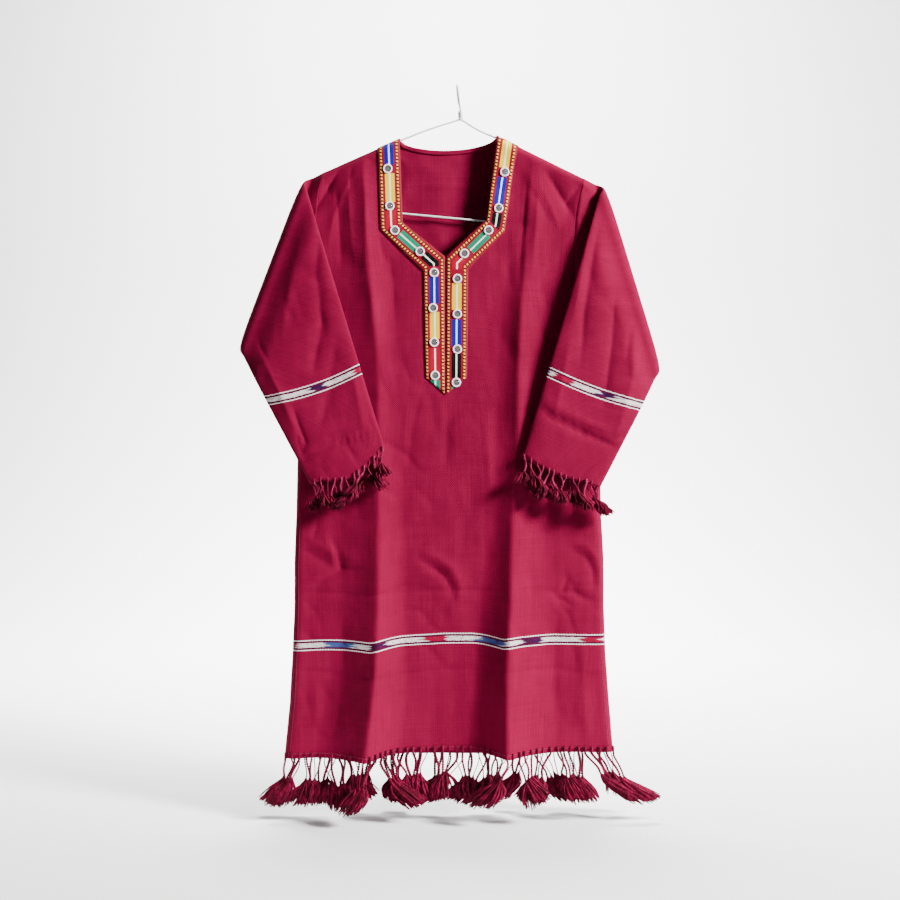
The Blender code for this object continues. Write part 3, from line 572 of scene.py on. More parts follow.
class Shader:
    """A material's nodes, made one line at a time."""

    def __init__(self, name):
        self.material = bpy.data.materials.new(name)
        self.material.use_nodes = True
        self.tree = self.material.node_tree
        self.surface = self.tree.nodes["Principled BSDF"]

    def node(self, kind, settings=None, **values):
        """A node with its settings, and a value or a link for each named socket."""
        made = self.tree.nodes.new(kind)
        for key, value in (settings or {}).items():
            setattr(made, key, value)
        for key, value in values.items():
            self.put(made.inputs[key.replace("_", " ")], value)
        return made

    def put(self, socket, value):
        if isinstance(value, Value):
            self.tree.links.new(value.socket, socket)
        else:
            socket.default_value = value

    def out(self, made, name=0):
        return Value(self, made.outputs[name])

    def maths(self, operation, *terms):
        made = self.node("ShaderNodeMath", {"operation": operation})
        for socket, term in zip(made.inputs, terms):
            self.put(socket, term)
        return self.out(made)

    def flat(self):
        """The place on the flat cloth, in millimetres, as two values."""
        uv = self.node("ShaderNodeUVMap", {"uv_map": "flat_cloth"})
        parts = self.node("ShaderNodeSeparateXYZ", Vector=self.out(uv))
        return self.out(parts, 0) * 1000.0, self.out(parts, 1) * 1000.0

    def place(self):
        return self.out(self.node("ShaderNodeTexCoord"), "Object")

    def vector(self, x, y, z=0.0):
        return self.out(self.node("ShaderNodeCombineXYZ", X=x, Y=y, Z=z))

    def noise(self, vector, scale, detail=2.0, roughness=0.5):
        made = self.node("ShaderNodeTexNoise", Vector=vector, Scale=scale, Detail=detail, Roughness=roughness)
        return self.out(made, "Fac")

    def blend(self, factor, first, second):
        made = self.node("ShaderNodeMix", {"data_type": "RGBA"})
        self.put(made.inputs[0], factor)
        for socket, colour in ((made.inputs[6], first), (made.inputs[7], second)):
            self.put(socket, colour if isinstance(colour, Value) else (*colour, 1.0))
        return Value(self, made.outputs[2])

    def ramp(self, factor, stops, interpolation="LINEAR"):
        made = self.node("ShaderNodeValToRGB", Fac=factor)
        made.color_ramp.interpolation = interpolation
        steps = made.color_ramp.elements
        while len(steps) < len(stops):
            steps.new(0.5)
        for step, (position, colour) in zip(steps, stops):
            step.position = position
            step.color = (*colour, 1.0)
        return self.out(made, "Color")

    def bump(self, height, distance, strength=1.0):
        made = self.node("ShaderNodeBump", Height=height, Distance=distance, Strength=strength)
        return self.out(made)

    def finish(self, **values):
        for key, value in values.items():
            name = key.replace("_", " ")
            if isinstance(value, tuple) and len(value) == 3:
                value = (*value, 1.0)
            self.put(self.surface.inputs[name], value)
        return self.material


print("operators ready:", ", ".join(name for name in vars(Value) if name.startswith("__")))

# %% [markdown]
# ## The handloom cloth
# The cloth is a cotton twill: its threads cross so that fine ridges run diagonally. Handspun yarn is
# uneven, so some threads are a little thicker or darker, along and across the cloth. Cotton hardly
# shines, so its finish is rough and almost without reflection.

# %% Weave the maroon twill
MAROON = (0.165, 0.0012, 0.025)
MAROON_LIGHT = (0.235, 0.0035, 0.041)
MAROON_DARK = (0.09, 0.0006, 0.011)
TWILL = 2.5  # from ridge to ridge
TURN = 2.0 * math.pi
COTTON = {"Roughness": 0.85, "Specular_IOR_Level": 0.06}
WEAVE_RELIEF = 0.0004  # in metres, for one step of a bump


def weave(shader, u, v):
    """The twill's colour, its height and its diagonal ridges."""
    uneven = shader.noise(shader.vector(u, v), 0.05, 3.0)
    ridge = ((u + v) * (TURN / TWILL) + uneven * 2.5).sum("SINE") * 0.5 + 0.5
    across = shader.noise(shader.vector(u * 0.02, v), 0.55, 2.0)
    along = shader.noise(shader.vector(u, v * 0.02), 0.55, 2.0)
    worn = shader.noise(shader.vector(u, v), 0.012, 4.0, 0.6)
    tone = ridge * 0.62 + across * 0.3 + along * 0.35 + worn * 0.45 - 0.37
    colour = shader.ramp(tone, [(0.1, MAROON_DARK), (0.5, MAROON), (0.95, MAROON_LIGHT)])
    height = ridge * 0.55 + (across + along) * 0.5
    return colour, height, ridge


def make_plain_cloth():
    shader = Shader("handloom_twill")
    u, v = shader.flat()
    colour, height, ridge = weave(shader, u, v)
    return shader.finish(Base_Color=colour, Normal=shader.bump(height, WEAVE_RELIEF, 0.9), **COTTON)


plain_cloth = make_plain_cloth()
print("a twill ridge every", TWILL, "mm")

# %% [markdown]
# ## The ikat bands
# In ikat the weft yarn is dyed in blocks before it is woven, and the blocks never line up exactly, so
# their ends look feathered. Here each weft thread shifts the colours by its own amount. Two white lines
# of twisted yarn border the band.

# %% Dye the bands
WHITE = (0.8, 0.76, 0.74)
PINK_WHITE = (0.74, 0.5, 0.54)
BLUE = (0.025, 0.1, 0.32)
NAVY = (0.012, 0.004, 0.045)
PLUM = (0.03, 0.002, 0.02)
CRIMSON = (0.3, 0.001, 0.03)
IKAT_STOPS = [
    (0.0, WHITE),
    (0.14, WHITE),
    (0.165, BLUE),
    (0.255, BLUE),
    (0.275, NAVY),
    (0.29, BLUE),
    (0.33, BLUE),
    (0.355, WHITE),
    (0.45, WHITE),
    (0.475, PLUM),
    (0.59, NAVY),
    (0.615, WHITE),
    (0.82, WHITE),
    (0.85, CRIMSON),
    (0.95, CRIMSON),
    (0.975, WHITE),
]
SLEEVE_STOPS = [
    (0.0, CRIMSON),
    (0.07, CRIMSON),
    (0.1, WHITE),
    (0.14, WHITE),
    (0.16, BLUE),
    (0.3, BLUE),
    (0.33, WHITE),
    (0.55, WHITE),
    (0.57, NAVY),
    (0.65, NAVY),
    (0.67, WHITE),
    (0.87, WHITE),
    (0.9, CRIMSON),
    (1.0, CRIMSON),
]


BAND_EDGE = 6.4  # from the band's middle to the end of its dyed part
LINE_PLACE = 7.2  # and to the middle of a white line
LINE_TWIST = 4.2  # one turn of the line's two strands
WEDGE = 44.0  # how far the ends of the colours stray over the whole band, from thread to thread,
STAGGER = 24.0
FRAY = 8.0  # and within a thread


def make_banded_cloth(name, middle, start, repeat, stops, feather):
    """Cloth with an ikat band at a height on the flat cloth.

    The colours begin at start and come round after repeat. feather is how far their ends are frayed.
    """
    shader = Shader(name)
    u, v = shader.flat()
    colour, height, ridge = weave(shader, u, v)
    off = v - middle
    thread = (off * 1.1).sum("FLOOR")
    wedge = shader.noise(shader.vector(off * 0.3, u * 0.006), 1.0, 1.0) - 0.5
    stagger = shader.noise(shader.vector(thread * 3.7, u * 0.004), 1.0, 1.0) - 0.5
    fray = shader.noise(shader.vector(u * 0.35, thread * 5.1), 1.0, 2.0) - 0.5
    shift = (wedge * WEDGE + stagger * STAGGER + fray * FRAY) * feather
    dyed = ((u - start + shift) / repeat).sum("FRACT")
    ikat = shader.ramp(dyed, stops)
    lost = shader.noise(shader.vector(u * 0.14, v * 1.6), 1.0, 3.0) > 0.57
    ikat = shader.blend(lost * 0.8, ikat, MAROON)
    ikat = shader.blend(ridge * 0.34, ikat, PLUM)
    distance = abs(off)
    ragged = shader.noise(shader.vector(u * 0.5, v * 0.2), 1.0, 2.0)
    inside = distance < ragged * 1.7 + 2.6
    colour = shader.blend((distance < BAND_EDGE) * 0.75, colour, PLUM)
    colour = shader.blend(inside, colour, ikat)
    twist = ((u + off * 1.5) * (TURN / LINE_TWIST)).sum("SINE")
    line = abs(distance - LINE_PLACE - twist * 0.25) < 0.8
    strand = shader.blend(twist * 0.5 + 0.5, PINK_WHITE, WHITE)
    colour = shader.blend(line, colour, strand)
    height = height + line * 0.8 + inside * 0.3
    return shader.finish(Base_Color=colour, Normal=shader.bump(height, WEAVE_RELIEF, 0.9), **COTTON)


HEM_BAND = 172.0  # the band's height above the hem
BACK_HEM_BAND = 154.0
front_cloth = make_banded_cloth("handloom_twill_front", HEM_BAND, -237.0, 249.0, IKAT_STOPS, 1.0)
back_cloth = make_banded_cloth("handloom_twill_back", BACK_HEM_BAND, -120.0, 247.0, IKAT_STOPS, 1.0)
sleeve_cloth = {
    "left": make_banded_cloth("handloom_twill_sleeve_left", 0.0, 157.0, 173.0, SLEEVE_STOPS, 0.5),
    "right": make_banded_cloth("handloom_twill_sleeve_right", 0.0, 187.0, 120.0, SLEEVE_STOPS, 0.4),
}
print("colours in one ikat repeat:", len(IKAT_STOPS))

# %% [markdown]
# ## The front
# The front is cut in one piece, with a neck that drops to a V and a slit below it. Both halves are made
# row by row from the table above and share their centre line below the slit. Rows and columns crowd
# towards the seams, where the cloth turns over, and stand about four millimetres apart elsewhere.

# %% Rows and columns of the fine grid
ROW_STEP = 3.8
NEAR_SEAM = (0.0, 0.35, 1.2, 2.6, 4.6, 7.4, 12.0)
BODY_COLUMNS = 54
FRONT_INNER = [step / 7 for step in range(8)]
BACK_INNER = [0.0, 0.02, 0.045, 0.09, 0.16, 0.26, 0.38, 0.5, 0.62, 0.75, 0.88, 1.0]
SHARP_ROWS = (0.008, 0.025, 0.055, 0.1, 0.16, 0.24, 0.34, 0.45)


def fine_sections():
    marks = set(SHARP_ROWS) | {ARMPIT - mark for mark in SHARP_ROWS}
    for number in range(HEM):
        length = FRONT_LEFT[number].edge_z - FRONT_LEFT[number + 1].edge_z
        steps = math.ceil(length / ROW_STEP)
        marks |= {number + step / steps for step in range(steps)}
    return sorted(marks | {float(HEM)})


SECTIONS = fine_sections()
ARMHOLE = [section for section in SECTIONS if section <= ARMPIT]
TRIM_COLUMN = len(NEAR_SEAM) + BODY_COLUMNS - 1


def half_row(half, inner_steps):
    """The (x, z) points of one row, from the side of a panel to its centre."""
    inward = 1.0 if half.edge_x < 0 else -1.0
    xs = [half.edge_x + inward * step for step in NEAR_SEAM]
    xs += [mix(xs[-1], half.trim_x, (step + 1) / BODY_COLUMNS) for step in range(BODY_COLUMNS)]
    run = half.trim_x - half.edge_x
    points = [(x, mix(half.edge_z, half.trim_z, (x - half.edge_x) / run)) for x in xs[:-1]]
    for t in inner_steps:
        points.append((mix(half.trim_x, half.centre_x, t), mix(half.trim_z, half.centre_z, t)))
    return points


def hem_dip(x, z, section, folds):
    return HEM_DIP * fold_height(folds, x, z) * clamp(section - (HEM - 2))


print("rows:", len(SECTIONS), "and columns in a half:", TRIM_COLUMN + len(FRONT_INNER))


# %% Lay out the front and the back
def flat_places(rows, middle):
    """Distances along the rows from a middle line, and up from the hem, in metres."""
    places = []
    for row in rows:
        run = 0.0
        lengths = [0.0]
        for a, b in zip(row[::-1], row[-2::-1]):
            run += (b - a).length
            lengths.append(run)
        lengths = lengths[::-1]
        start = row[-1].x - middle
        outward = -1.0 if row[0].x < row[-1].x else 1.0
        places.append([(start + outward * length) * MM for length in lengths])
    heights = [[0.0] * len(rows[-1])]
    for upper, lower in zip(rows[-2::-1], rows[::-1]):
        heights.append([below + (a - b).length * MM for a, b, below in zip(upper, lower, heights[-1])])
    return places, heights[::-1]


def lay_out(is_front, half_at, folds, inner_steps, join_from):
    """Both halves of a panel as one sheet, with the numbers of their points.

    half_at gives a half's line at a section, and the halves are joined from the section join_from down.
    """
    sheet = Sheet()
    numbers = {}
    shared = {}
    for side, table in HALVES.items():
        rows = []
        for section in SECTIONS:
            row = []
            for column, (x, z) in enumerate(half_row(half_at(table, section), inner_steps)):
                z -= hem_dip(x, z, section, folds)
                if not is_front and column > TRIM_COLUMN:
                    z += back_neck_curve(table, section, inner_steps[column - TRIM_COLUMN])
                row.append(panel_point(x, z, is_front))
            rows.append(row)
        across, up = flat_places(rows, CENTRE)
        grid = []
        for section, row, us, vs in zip(SECTIONS, rows, across, up):
            line = [sheet.add(point, (u, v)) for point, u, v in zip(row[:-1], us, vs)]
            if section < join_from:
                line.append(sheet.add(row[-1], (us[-1], vs[-1])))
            else:
                if section not in shared:
                    shared[section] = sheet.add(row[-1], (us[-1], vs[-1]))
                line.append(shared[section])
            grid.append(line)
        sheet.add_grid(grid, flip=(side == "left") == is_front)
        numbers[side] = grid
    return sheet, numbers


front_sheet, front_rows = lay_out(True, at_section, FRONT_FOLDS, FRONT_INNER, RIBBON_END)
front = make_cloth("front_cloth", front_sheet, WALL, front_cloth)

# %% [markdown]
# ## The back
# The back has the front's shoulders and side seams, but a high round neck, and its hem hangs a little
# lower. At the left of the hem it stands out past the front, as the slits let it.

# %% The back's own lines
BACK_NECK_DROP = 18.5
BACK_MIDDLE = -13.5
BACK_TRIM_NARROWS = 0.72  # the columns from the neck draw together to this share at the hem
BACK_HEM_DROP = 5.0  # how far the back's hem hangs below the front's
BACK_SPREAD = 4.0  # and stands out past it at the left


def back_neck_z(x):
    left = FRONT_LEFT[0]
    right = FRONT_RIGHT[0]
    share = (x - left.centre_x) / (right.centre_x - left.centre_x)
    straight = mix(left.centre_z, right.centre_z, share)
    return straight - BACK_NECK_DROP * max(0.0, 1.0 - (2.0 * share - 1.0) ** 2) ** 0.6


def back_half(rows, section):
    """The back's row at a section: the front's side seam, and columns from the neck and from its middle."""
    half = at_section(rows, section)
    top = rows[0]
    low = smooth((section - SLIT_TOP) / (HEM - SLIT_TOP))
    edge_x = half.edge_x - (BACK_SPREAD * low if half.edge_x < 0 else 0.0)
    edge_z = half.edge_z - BACK_HEM_DROP * low
    below_armpit = max(section, ARMPIT)
    level = (at_section(FRONT_LEFT, below_armpit).edge_z + at_section(FRONT_RIGHT, below_armpit).edge_z) / 2
    level -= BACK_HEM_DROP * low
    share = clamp((top.edge_z - edge_z) / (top.edge_z - rows[ARMPIT].edge_z))
    trim_x = mix(top.centre_x, top.centre_x * BACK_TRIM_NARROWS, smooth(section / HEM))
    trim_z = mix(top.centre_z, level, share)
    centre_z = mix(back_neck_z(BACK_MIDDLE), level, share)
    return Half(edge_x, edge_z, trim_x, trim_z, BACK_MIDDLE, centre_z)


def back_neck_curve(rows, section, step):
    """How far a column of the back lies off a straight row, because the neck above it is round."""
    top = rows[0]
    straight = mix(top.centre_z, back_neck_z(BACK_MIDDLE), step)
    curved = back_neck_z(mix(top.centre_x, BACK_MIDDLE, step))
    return (curved - straight) * (1.0 - smooth(section / ARMPIT))


back_sheet, back_rows = lay_out(False, back_half, BACK_FOLDS, BACK_INNER, 0)
back = make_cloth("back_cloth", back_sheet, WALL, back_cloth)

# %% [markdown]
# ## The sleeves
# Each sleeve is a tube that was set flat and folded forward over the front, so its root turns through
# half a circle at the shoulder and the rest lies in front of the side seam. The tube starts on the very
# points of the armhole, follows the turn, and ends at the cuff.

# %% The sleeves' sizes
FOLD_RADIUS = 9.0
SLEEVE_GAP = 4.7  # half the room between a sleeve's two layers
CAD_WALL = 1.4  # the thickness of the cloth in the packed model
FLAP_DEPTH = 31.0  # how far in front of the seams the folded sleeve lies
FLAP_SLOPE = 80.0  # it gets there this far in from its bend
FLAP_EVENNESS = 0.7  # a sleeve is less uneven than the front
FLAP_EASE = 5.0  # its creases start within a fifth of the way from the bend to the cuff
Sleeve = namedtuple(
    "Sleeve",
    "tip elbow root_top root_foot flap_top flap_foot cuff_inner cuff_outer bulge band",
)
SLEEVES = {
    "left": Sleeve(
        tip=(-240.0, -149.5),
        elbow=(-338.0, -406.5),
        root_top=-15.0,
        root_foot=261.0,
        flap_top=9.0,
        flap_foot=279.0,
        cuff_inner=(-110.5, -556.0),
        cuff_outer=(-221.0, -612.0),
        bulge=20.0,
        band=((-290.3, -484.3), (-218.7, -467.4), (-145.5, -435.8)),
    ),
    "right": Sleeve(
        tip=(228.0, -154.0),
        elbow=(315.5, -440.5),
        root_top=-8.0,
        root_foot=284.0,
        flap_top=12.0,
        flap_foot=303.0,
        cuff_inner=(99.5, -569.5),
        cuff_outer=(216.0, -616.0),
        bulge=7.0,
        band=((293.4, -495.1), (211.0, -472.0), (143.2, -443.5)),
    ),
}
ROOT_REACH = [step / 10 for step in range(1, 10)]
BEND_TURN = [step / 12 for step in range(13)]
FLAP_REACH = [step / 60 for step in range(1, 61)]
print("a sleeve's bend is", 2 * FOLD_RADIUS, "mm across")


# %% Fold a sleeve forward
def flat_gap(share):
    """Half the space between a flat sleeve's layers, as a share of the most: 0 at both of its edges."""
    return max(0.0, 1.0 - abs(2.0 * share - 1.0) ** 6) ** 0.5


def armhole_numbers(side):
    """The points of the front down the armhole, and those of the back up it."""
    count = len(ARMHOLE)
    down = [front_rows[side][row][0] for row in range(count)]
    up = [back_rows[side][row][0] for row in range(count - 2, 0, -1)]
    return down, up


def lay_out_sleeve(side):
    """Rings of points from the armhole round the bend to the cuff."""
    shape = SLEEVES[side]
    table = HALVES[side]
    down, up = armhole_numbers(side)
    loop = [front_sheet.points[number].copy() for number in down]
    loop += [back_sheet.points[number].copy() for number in up]
    last = len(down) - 1
    for end in (0, last):
        loop[end].y = 0.0
    shares = [section / ARMPIT for section in ARMHOLE]
    shares += shares[-2:0:-1]
    layers = [-1.0] * (last + 1) + [1.0] * (len(loop) - last - 1)

    tip = Vector((shape.tip[0], 0.0, shape.tip[1]))
    elbow = Vector((shape.elbow[0], 0.0, shape.elbow[1]))
    along = (elbow - tip).normalized()
    outward = Vector((-along.z, 0.0, along.x))
    if outward.x * table[0].edge_x < 0:
        outward = -outward
    tip -= outward * (FOLD_RADIUS + SLEEVE_GAP + CAD_WALL / 2)
    inner = Vector((shape.cuff_inner[0], 0.0, shape.cuff_inner[1]))
    outer = Vector((shape.cuff_outer[0], 0.0, shape.cuff_outer[1]))

    def fold_point(share, layer, turn):
        top = mix(shape.root_top, shape.flap_top, turn)
        foot = mix(shape.root_foot, shape.flap_foot, turn)
        radius = FOLD_RADIUS + layer * SLEEVE_GAP * flat_gap(share)
        angle = math.pi * turn
        point = tip + along * mix(top, foot, share) + outward * (radius * math.sin(angle))
        point.y = radius * math.cos(angle) - FOLD_RADIUS
        return point

    def flap_point(share, layer, reach):
        start = fold_point(share, layer, 1.0)
        end = inner.lerp(outer, share)
        end.z -= shape.bulge * math.sin(math.pi * clamp(share * 1.15)) * (1.0 if layer > 0 else 0.6)
        point = Vector((mix(start.x, end.x, reach), start.y, mix(start.z, end.z, reach)))
        in_from_fold = (tip - point).dot(outward)
        point.y -= (FLAP_DEPTH - 2 * FOLD_RADIUS) * settle(in_from_fold / FLAP_SLOPE)
        ease = smooth(reach * FLAP_EASE)
        point.y -= crease_height(SLEEVE_CREASES[side], point.x, point.z) * ease
        point.y -= FLAP_EVENNESS * unevenness(point.x, point.z, SLEEVE_SEED) * ease
        return point

    rings = [loop]
    for reach in ROOT_REACH:
        ring = [point.lerp(fold_point(s, layer, 0.0), reach) for point, s, layer in zip(loop, shares, layers)]
        rings.append(ring)
    for turn in BEND_TURN:
        rings.append([fold_point(s, layer, turn) for s, layer in zip(shares, layers)])
    for reach in FLAP_REACH:
        rings.append([flap_point(s, layer, reach) for s, layer in zip(shares, layers)])
    return rings


def band_line(points, x):
    """The height at x of the smooth line through a band's three points."""
    height = 0.0
    for ax, az in points:
        share = 1.0
        for bx, _ in points:
            if bx != ax:
                share *= (x - bx) / (ax - bx)
        height += az * share
    return height


def band_crossing(rings, heights, number, points):
    """How far above the cuff one column of the sleeve meets its band."""
    for upper, lower, above, below in zip(rings, rings[1:], heights, heights[1:]):
        high = upper[number].z - band_line(points, upper[number].x)
        low = lower[number].z - band_line(points, lower[number].x)
        if high > 0 >= low:
            return mix(above[number], below[number], high / (high - low))
    return 0.0


FLAP_START = len(ROOT_REACH) + len(BEND_TURN)


def sew_sleeve(side):
    rings = lay_out_sleeve(side)
    points = SLEEVES[side].band
    count = len(rings[0])
    heights = [[0.0] * count]
    for upper, lower in zip(rings[-2::-1], rings[::-1]):
        heights.append([below + (a - b).length for a, b, below in zip(upper, lower, heights[-1])])
    heights = heights[::-1]
    bands = [band_crossing(rings[FLAP_START:], heights[FLAP_START:], n, points) for n in range(count)]
    sheet = Sheet()
    grid = []
    for ring, above in zip(rings, heights):
        across = 0.0
        line = []
        places = ring + ring[:1]
        for number in range(count + 1):
            if number:
                across += (places[number] - places[number - 1]).length
            place = (across * MM, (above[number % count] - bands[number % count]) * MM)
            line.append(sheet.add(places[number], place))
        grid.append(line)
    sheet.add_grid(grid, flip=side == "left")
    return sheet, grid[-1]


sleeve_sheets = {}
sleeves = {}
for side in SLEEVES:
    sheet, cuff = sew_sleeve(side)
    sleeve_sheets[side] = (sheet, cuff)
    sleeves[side] = make_cloth(f"sleeve_cloth_{side}", sheet, WALL, sleeve_cloth[side], is_tube=True)

# %% [markdown]
# ## The neck ribbons
# The ribbon is sewn flat along the neck, mitred where the neck turns, and cut to a point where the slit
# ends. It lies on the front, so it is made from the front's own points, moved out by its thickness. Its
# UV map measures millimetres across from its middle, and along from the shoulder.

# %% Cut the ribbons
RIBBON_WALL = 0.9
RIBBON_LIFT = CAD_WALL / 2 + SEAM_GAP + 0.5
SLIT_HALF = 0.4  # half the gap between the two ribbons at the slit
RIBBON_TURNS = (0, 3, 5, RIBBON_END)  # the rows where a ribbon starts, turns, turns again and ends


def ribbon_legs(side):
    """A ribbon's straight legs: where the middle line starts, its direction, and its length above."""
    middles = []
    for number in RIBBON_TURNS:
        row = HALVES[side][number]
        middles.append(Vector((row.trim_x + row.centre_x, row.trim_z + row.centre_z)) / 2)
    legs = []
    run = 0.0
    for start, end in zip(middles, middles[1:]):
        legs.append((start, (end - start).normalized(), run))
        run += (end - start).length
    return legs


def leg_place(leg, point):
    """A point's distance across a leg and along the ribbon, in metres."""
    start, along, run = leg
    offset = Vector((point.x, point.z)) - start
    return offset.cross(along) * MM, (run + offset.dot(along)) * MM


def cut_ribbon(side):
    """The ribbon's sheet, and its rows of points."""
    sheet = Sheet()
    normals = front_sheet.normals()
    grid = []
    sections = [section for section in SECTIONS if section <= RIBBON_END]
    for row in front_rows[side][: len(sections)]:
        line = []
        for number in row[TRIM_COLUMN:]:
            point = front_sheet.points[number] + normals[number] * RIBBON_LIFT
            if side == "left":
                point.x = min(point.x, CENTRE - SLIT_HALF)
            else:
                point.x = max(point.x, CENTRE + SLIT_HALF)
            line.append(sheet.add(point, None))
        grid.append(line)
    sheet.add_grid(grid, flip=side == "left")
    legs = ribbon_legs(side)
    flat = []
    across = len(grid[0]) - 1
    for number, face in enumerate(sheet.faces):
        section = sections[number // across + 1]
        leg = legs[0] if section <= RIBBON_TURNS[1] else legs[1] if section <= RIBBON_TURNS[2] else legs[2]
        flat += [leg_place(leg, sheet.points[index]) for index in face]
    sheet.flat = flat
    return sheet, grid


ribbon_sheets = {side: cut_ribbon(side) for side in HALVES}
for side, (sheet, _) in ribbon_sheets.items():
    print(f"ribbon {side}: {max(place[1] for place in sheet.flat):.3f} m long")

# %% [markdown]
# ## The ribbon's woven pattern
# A jacquard loom weaves the ribbon: a crimson ground, a dashed row near each edge, and bars of satin with
# a white line down their middle. The bars differ from side to side, so each ribbon gets its own list of
# bars, and the shader reads where it is along the ribbon from the UV map.

# %% The bars, from the shoulder down
Bar = namedtuple("Bar", "top foot colour")
SATIN = {
    "blue": (0.006, 0.002, 0.26),
    "yellow": (0.74, 0.5, 0.0),
    "crimson": (0.33, 0.0, 0.018),
    "green": (0.0, 0.2, 0.105),
    "black": (0.003, 0.003, 0.003),
}
BARS = {
    "left": [
        Bar(-84.0, -122.0, "blue"),
        Bar(-136.0, -179.0, "yellow"),
        Bar(-193.0, -219.0, "crimson"),
        Bar(-228.0, -251.0, "green"),
        Bar(-260.0, -277.0, "black"),
        Bar(-294.0, -335.0, "blue"),
        Bar(-348.0, -388.0, "yellow"),
        Bar(-402.0, -438.0, "crimson"),
        Bar(-451.0, -470.0, "green"),
    ],
    "right": [
        Bar(-80.0, -127.0, "yellow"),
        Bar(-141.0, -183.0, "blue"),
        Bar(-196.0, -217.0, "black"),
        Bar(-228.0, -253.0, "green"),
        Bar(-264.0, -281.0, "crimson"),
        Bar(-303.0, -344.0, "yellow"),
        Bar(-358.0, -399.0, "blue"),
        Bar(-411.0, -449.0, "black"),
        Bar(-462.0, -474.0, "green"),
    ],
}
RIBBON_GROUND = (0.2, 0.0, 0.013)
RIBBON_FLECK = (0.29, 0.001, 0.025)
CREAM = (0.85, 0.46, 0.03)
DARK_THREAD = (0.02, 0.008, 0.008)
SELVEDGE = (0.14, 0.001, 0.01)
LINE_WHITE = (0.9, 0.88, 0.8)
NOTHING = (0.0, 0.0, 0.0)
FULLY = (1.0, 1.0, 1.0)
SATIN_HALF = 7.2  # from the ribbon's middle to a bar's edge
DASH_PLACE = 12.3  # to the middle of the dashed row
SELVEDGE_PLACE = 15.4  # and to the woven edge
DASH = 5.3  # one cream and one dark dash


def run_at(side, z):
    """How far down a ribbon its middle line reaches a height, in millimetres."""
    legs = ribbon_legs(side)
    start, along, run = next(leg for leg in reversed(legs) if z <= leg[0].y or leg is legs[0])
    return run + (z - start.y) / along.y


def make_ribbon_cloth(side):
    shader = Shader(f"jacquard_ribbon_{side}")
    u, v = shader.flat()
    sheet, _ = ribbon_sheets[side]
    length = max(place[1] for place in sheet.flat) / MM + 1.0
    colours = [(0.0, RIBBON_GROUND)]
    marks = [(0.0, NOTHING)]
    for bar in BARS[side]:
        top = run_at(side, bar.top) / length
        foot = run_at(side, bar.foot) / length
        colours += [(top, SATIN[bar.colour]), (foot, RIBBON_GROUND)]
        marks += [(top, FULLY), (foot, NOTHING)]
    share = v / length
    bars = shader.ramp(share, colours, "CONSTANT")
    in_bar = shader.ramp(share, marks, "CONSTANT")
    across = abs(u)
    satin = across < SATIN_HALF
    fray = shader.noise(shader.vector(u * 2.2, v * 0.5), 1.0, 2.0)
    ground = shader.blend(fray * 0.6, RIBBON_GROUND, RIBBON_FLECK)
    colour = shader.blend(satin * in_bar, ground, bars)
    line = (across < 0.95 + fray * 0.5) * in_bar
    colour = shader.blend(line * 0.92, colour, LINE_WHITE)
    row = abs(across - DASH_PLACE)
    step = ((v + u * 0.25) / DASH).sum("FRACT")
    cream = (row < 1.35) * (step < 0.5)
    dark = (row < 1.3) * (step > 0.5)
    colour = shader.blend(cream, colour, CREAM)
    colour = shader.blend(dark, colour, DARK_THREAD)
    colour = shader.blend((across > SELVEDGE_PLACE) * 0.6, colour, SELVEDGE)
    ribs = (v * (TURN / 0.9)).sum("SINE") * 0.5 + 0.5
    floats = (u * (TURN / 0.7)).sum("SINE") * 0.5 + 0.5
    raised = satin * in_bar * (0.6 + floats * 0.2) + line * 0.5 + (cream + dark) * 0.55 + ribs * 0.3
    shine = 0.62 - satin * in_bar * 0.22
    return shader.finish(
        Base_Color=colour,
        Roughness=shine,
        Specular_IOR_Level=0.1,
        Normal=shader.bump(raised, WEAVE_RELIEF, 0.7),
    )


ribbons = {}
for side, (sheet, _) in ribbon_sheets.items():
    ribbons[side] = make_cloth(f"ribbon_{side}", sheet, RIBBON_WALL, make_ribbon_cloth(side))

# %% [markdown]
# ## The binding of the back neck
# The raw neck edge of the back is covered by a narrow strip of the same cloth, stitched down inside. It
# shows through the open neck, just under the edge.

# %% Bind the back neck
BINDING_HEIGHT = 7.0
BINDING_WALL = 0.9
BINDING_DROP = CAD_WALL / 2 + SEAM_GAP + 0.5  # how far in front of the back it lies
BINDING_BULGE = 0.3
BINDING_STEPS = 4


def cut_binding():
    sheet = Sheet()
    first = TRIM_COLUMN
    numbers = back_rows["left"][0][first:] + back_rows["right"][0][first:-1][::-1]
    grid = []
    for step in range(BINDING_STEPS + 1):
        share = step / BINDING_STEPS
        forward = -BINDING_DROP - BINDING_BULGE * math.sin(math.pi * share)
        line = []
        for number in numbers:
            point = back_sheet.points[number] + Vector((0.0, forward, 0.2))
            point.z -= BINDING_HEIGHT * share
            line.append(sheet.add(point, (point.x * MM, point.z * MM)))
        grid.append(line)
    sheet.add_grid(grid, flip=True)
    return sheet


binding = make_cloth("neck_binding", cut_binding(), BINDING_WALL, plain_cloth)

# %% [markdown]
# ## Mirrors
# Each mirror is a small round glass held down by a ring of close stitches. One is modelled here as by
# hand: a disc whose top is inset and raised, a thin dark rim, and a ring whose ribs are the stitches.
# The sixteen on the ribbons are copies of it, turned to lie flat on the cloth.


# %% Finishes for the mirrors and their stitches
def make_glass():
    shader = Shader("small_mirror")
    clouds = shader.noise(shader.place(), 900.0, 2.0)
    colour = shader.ramp(clouds, [(0.3, (0.42, 0.4, 0.43)), (0.7, (0.86, 0.84, 0.87))])
    return shader.finish(Base_Color=colour, Metallic=0.9, Roughness=clouds * 0.25 + 0.08)


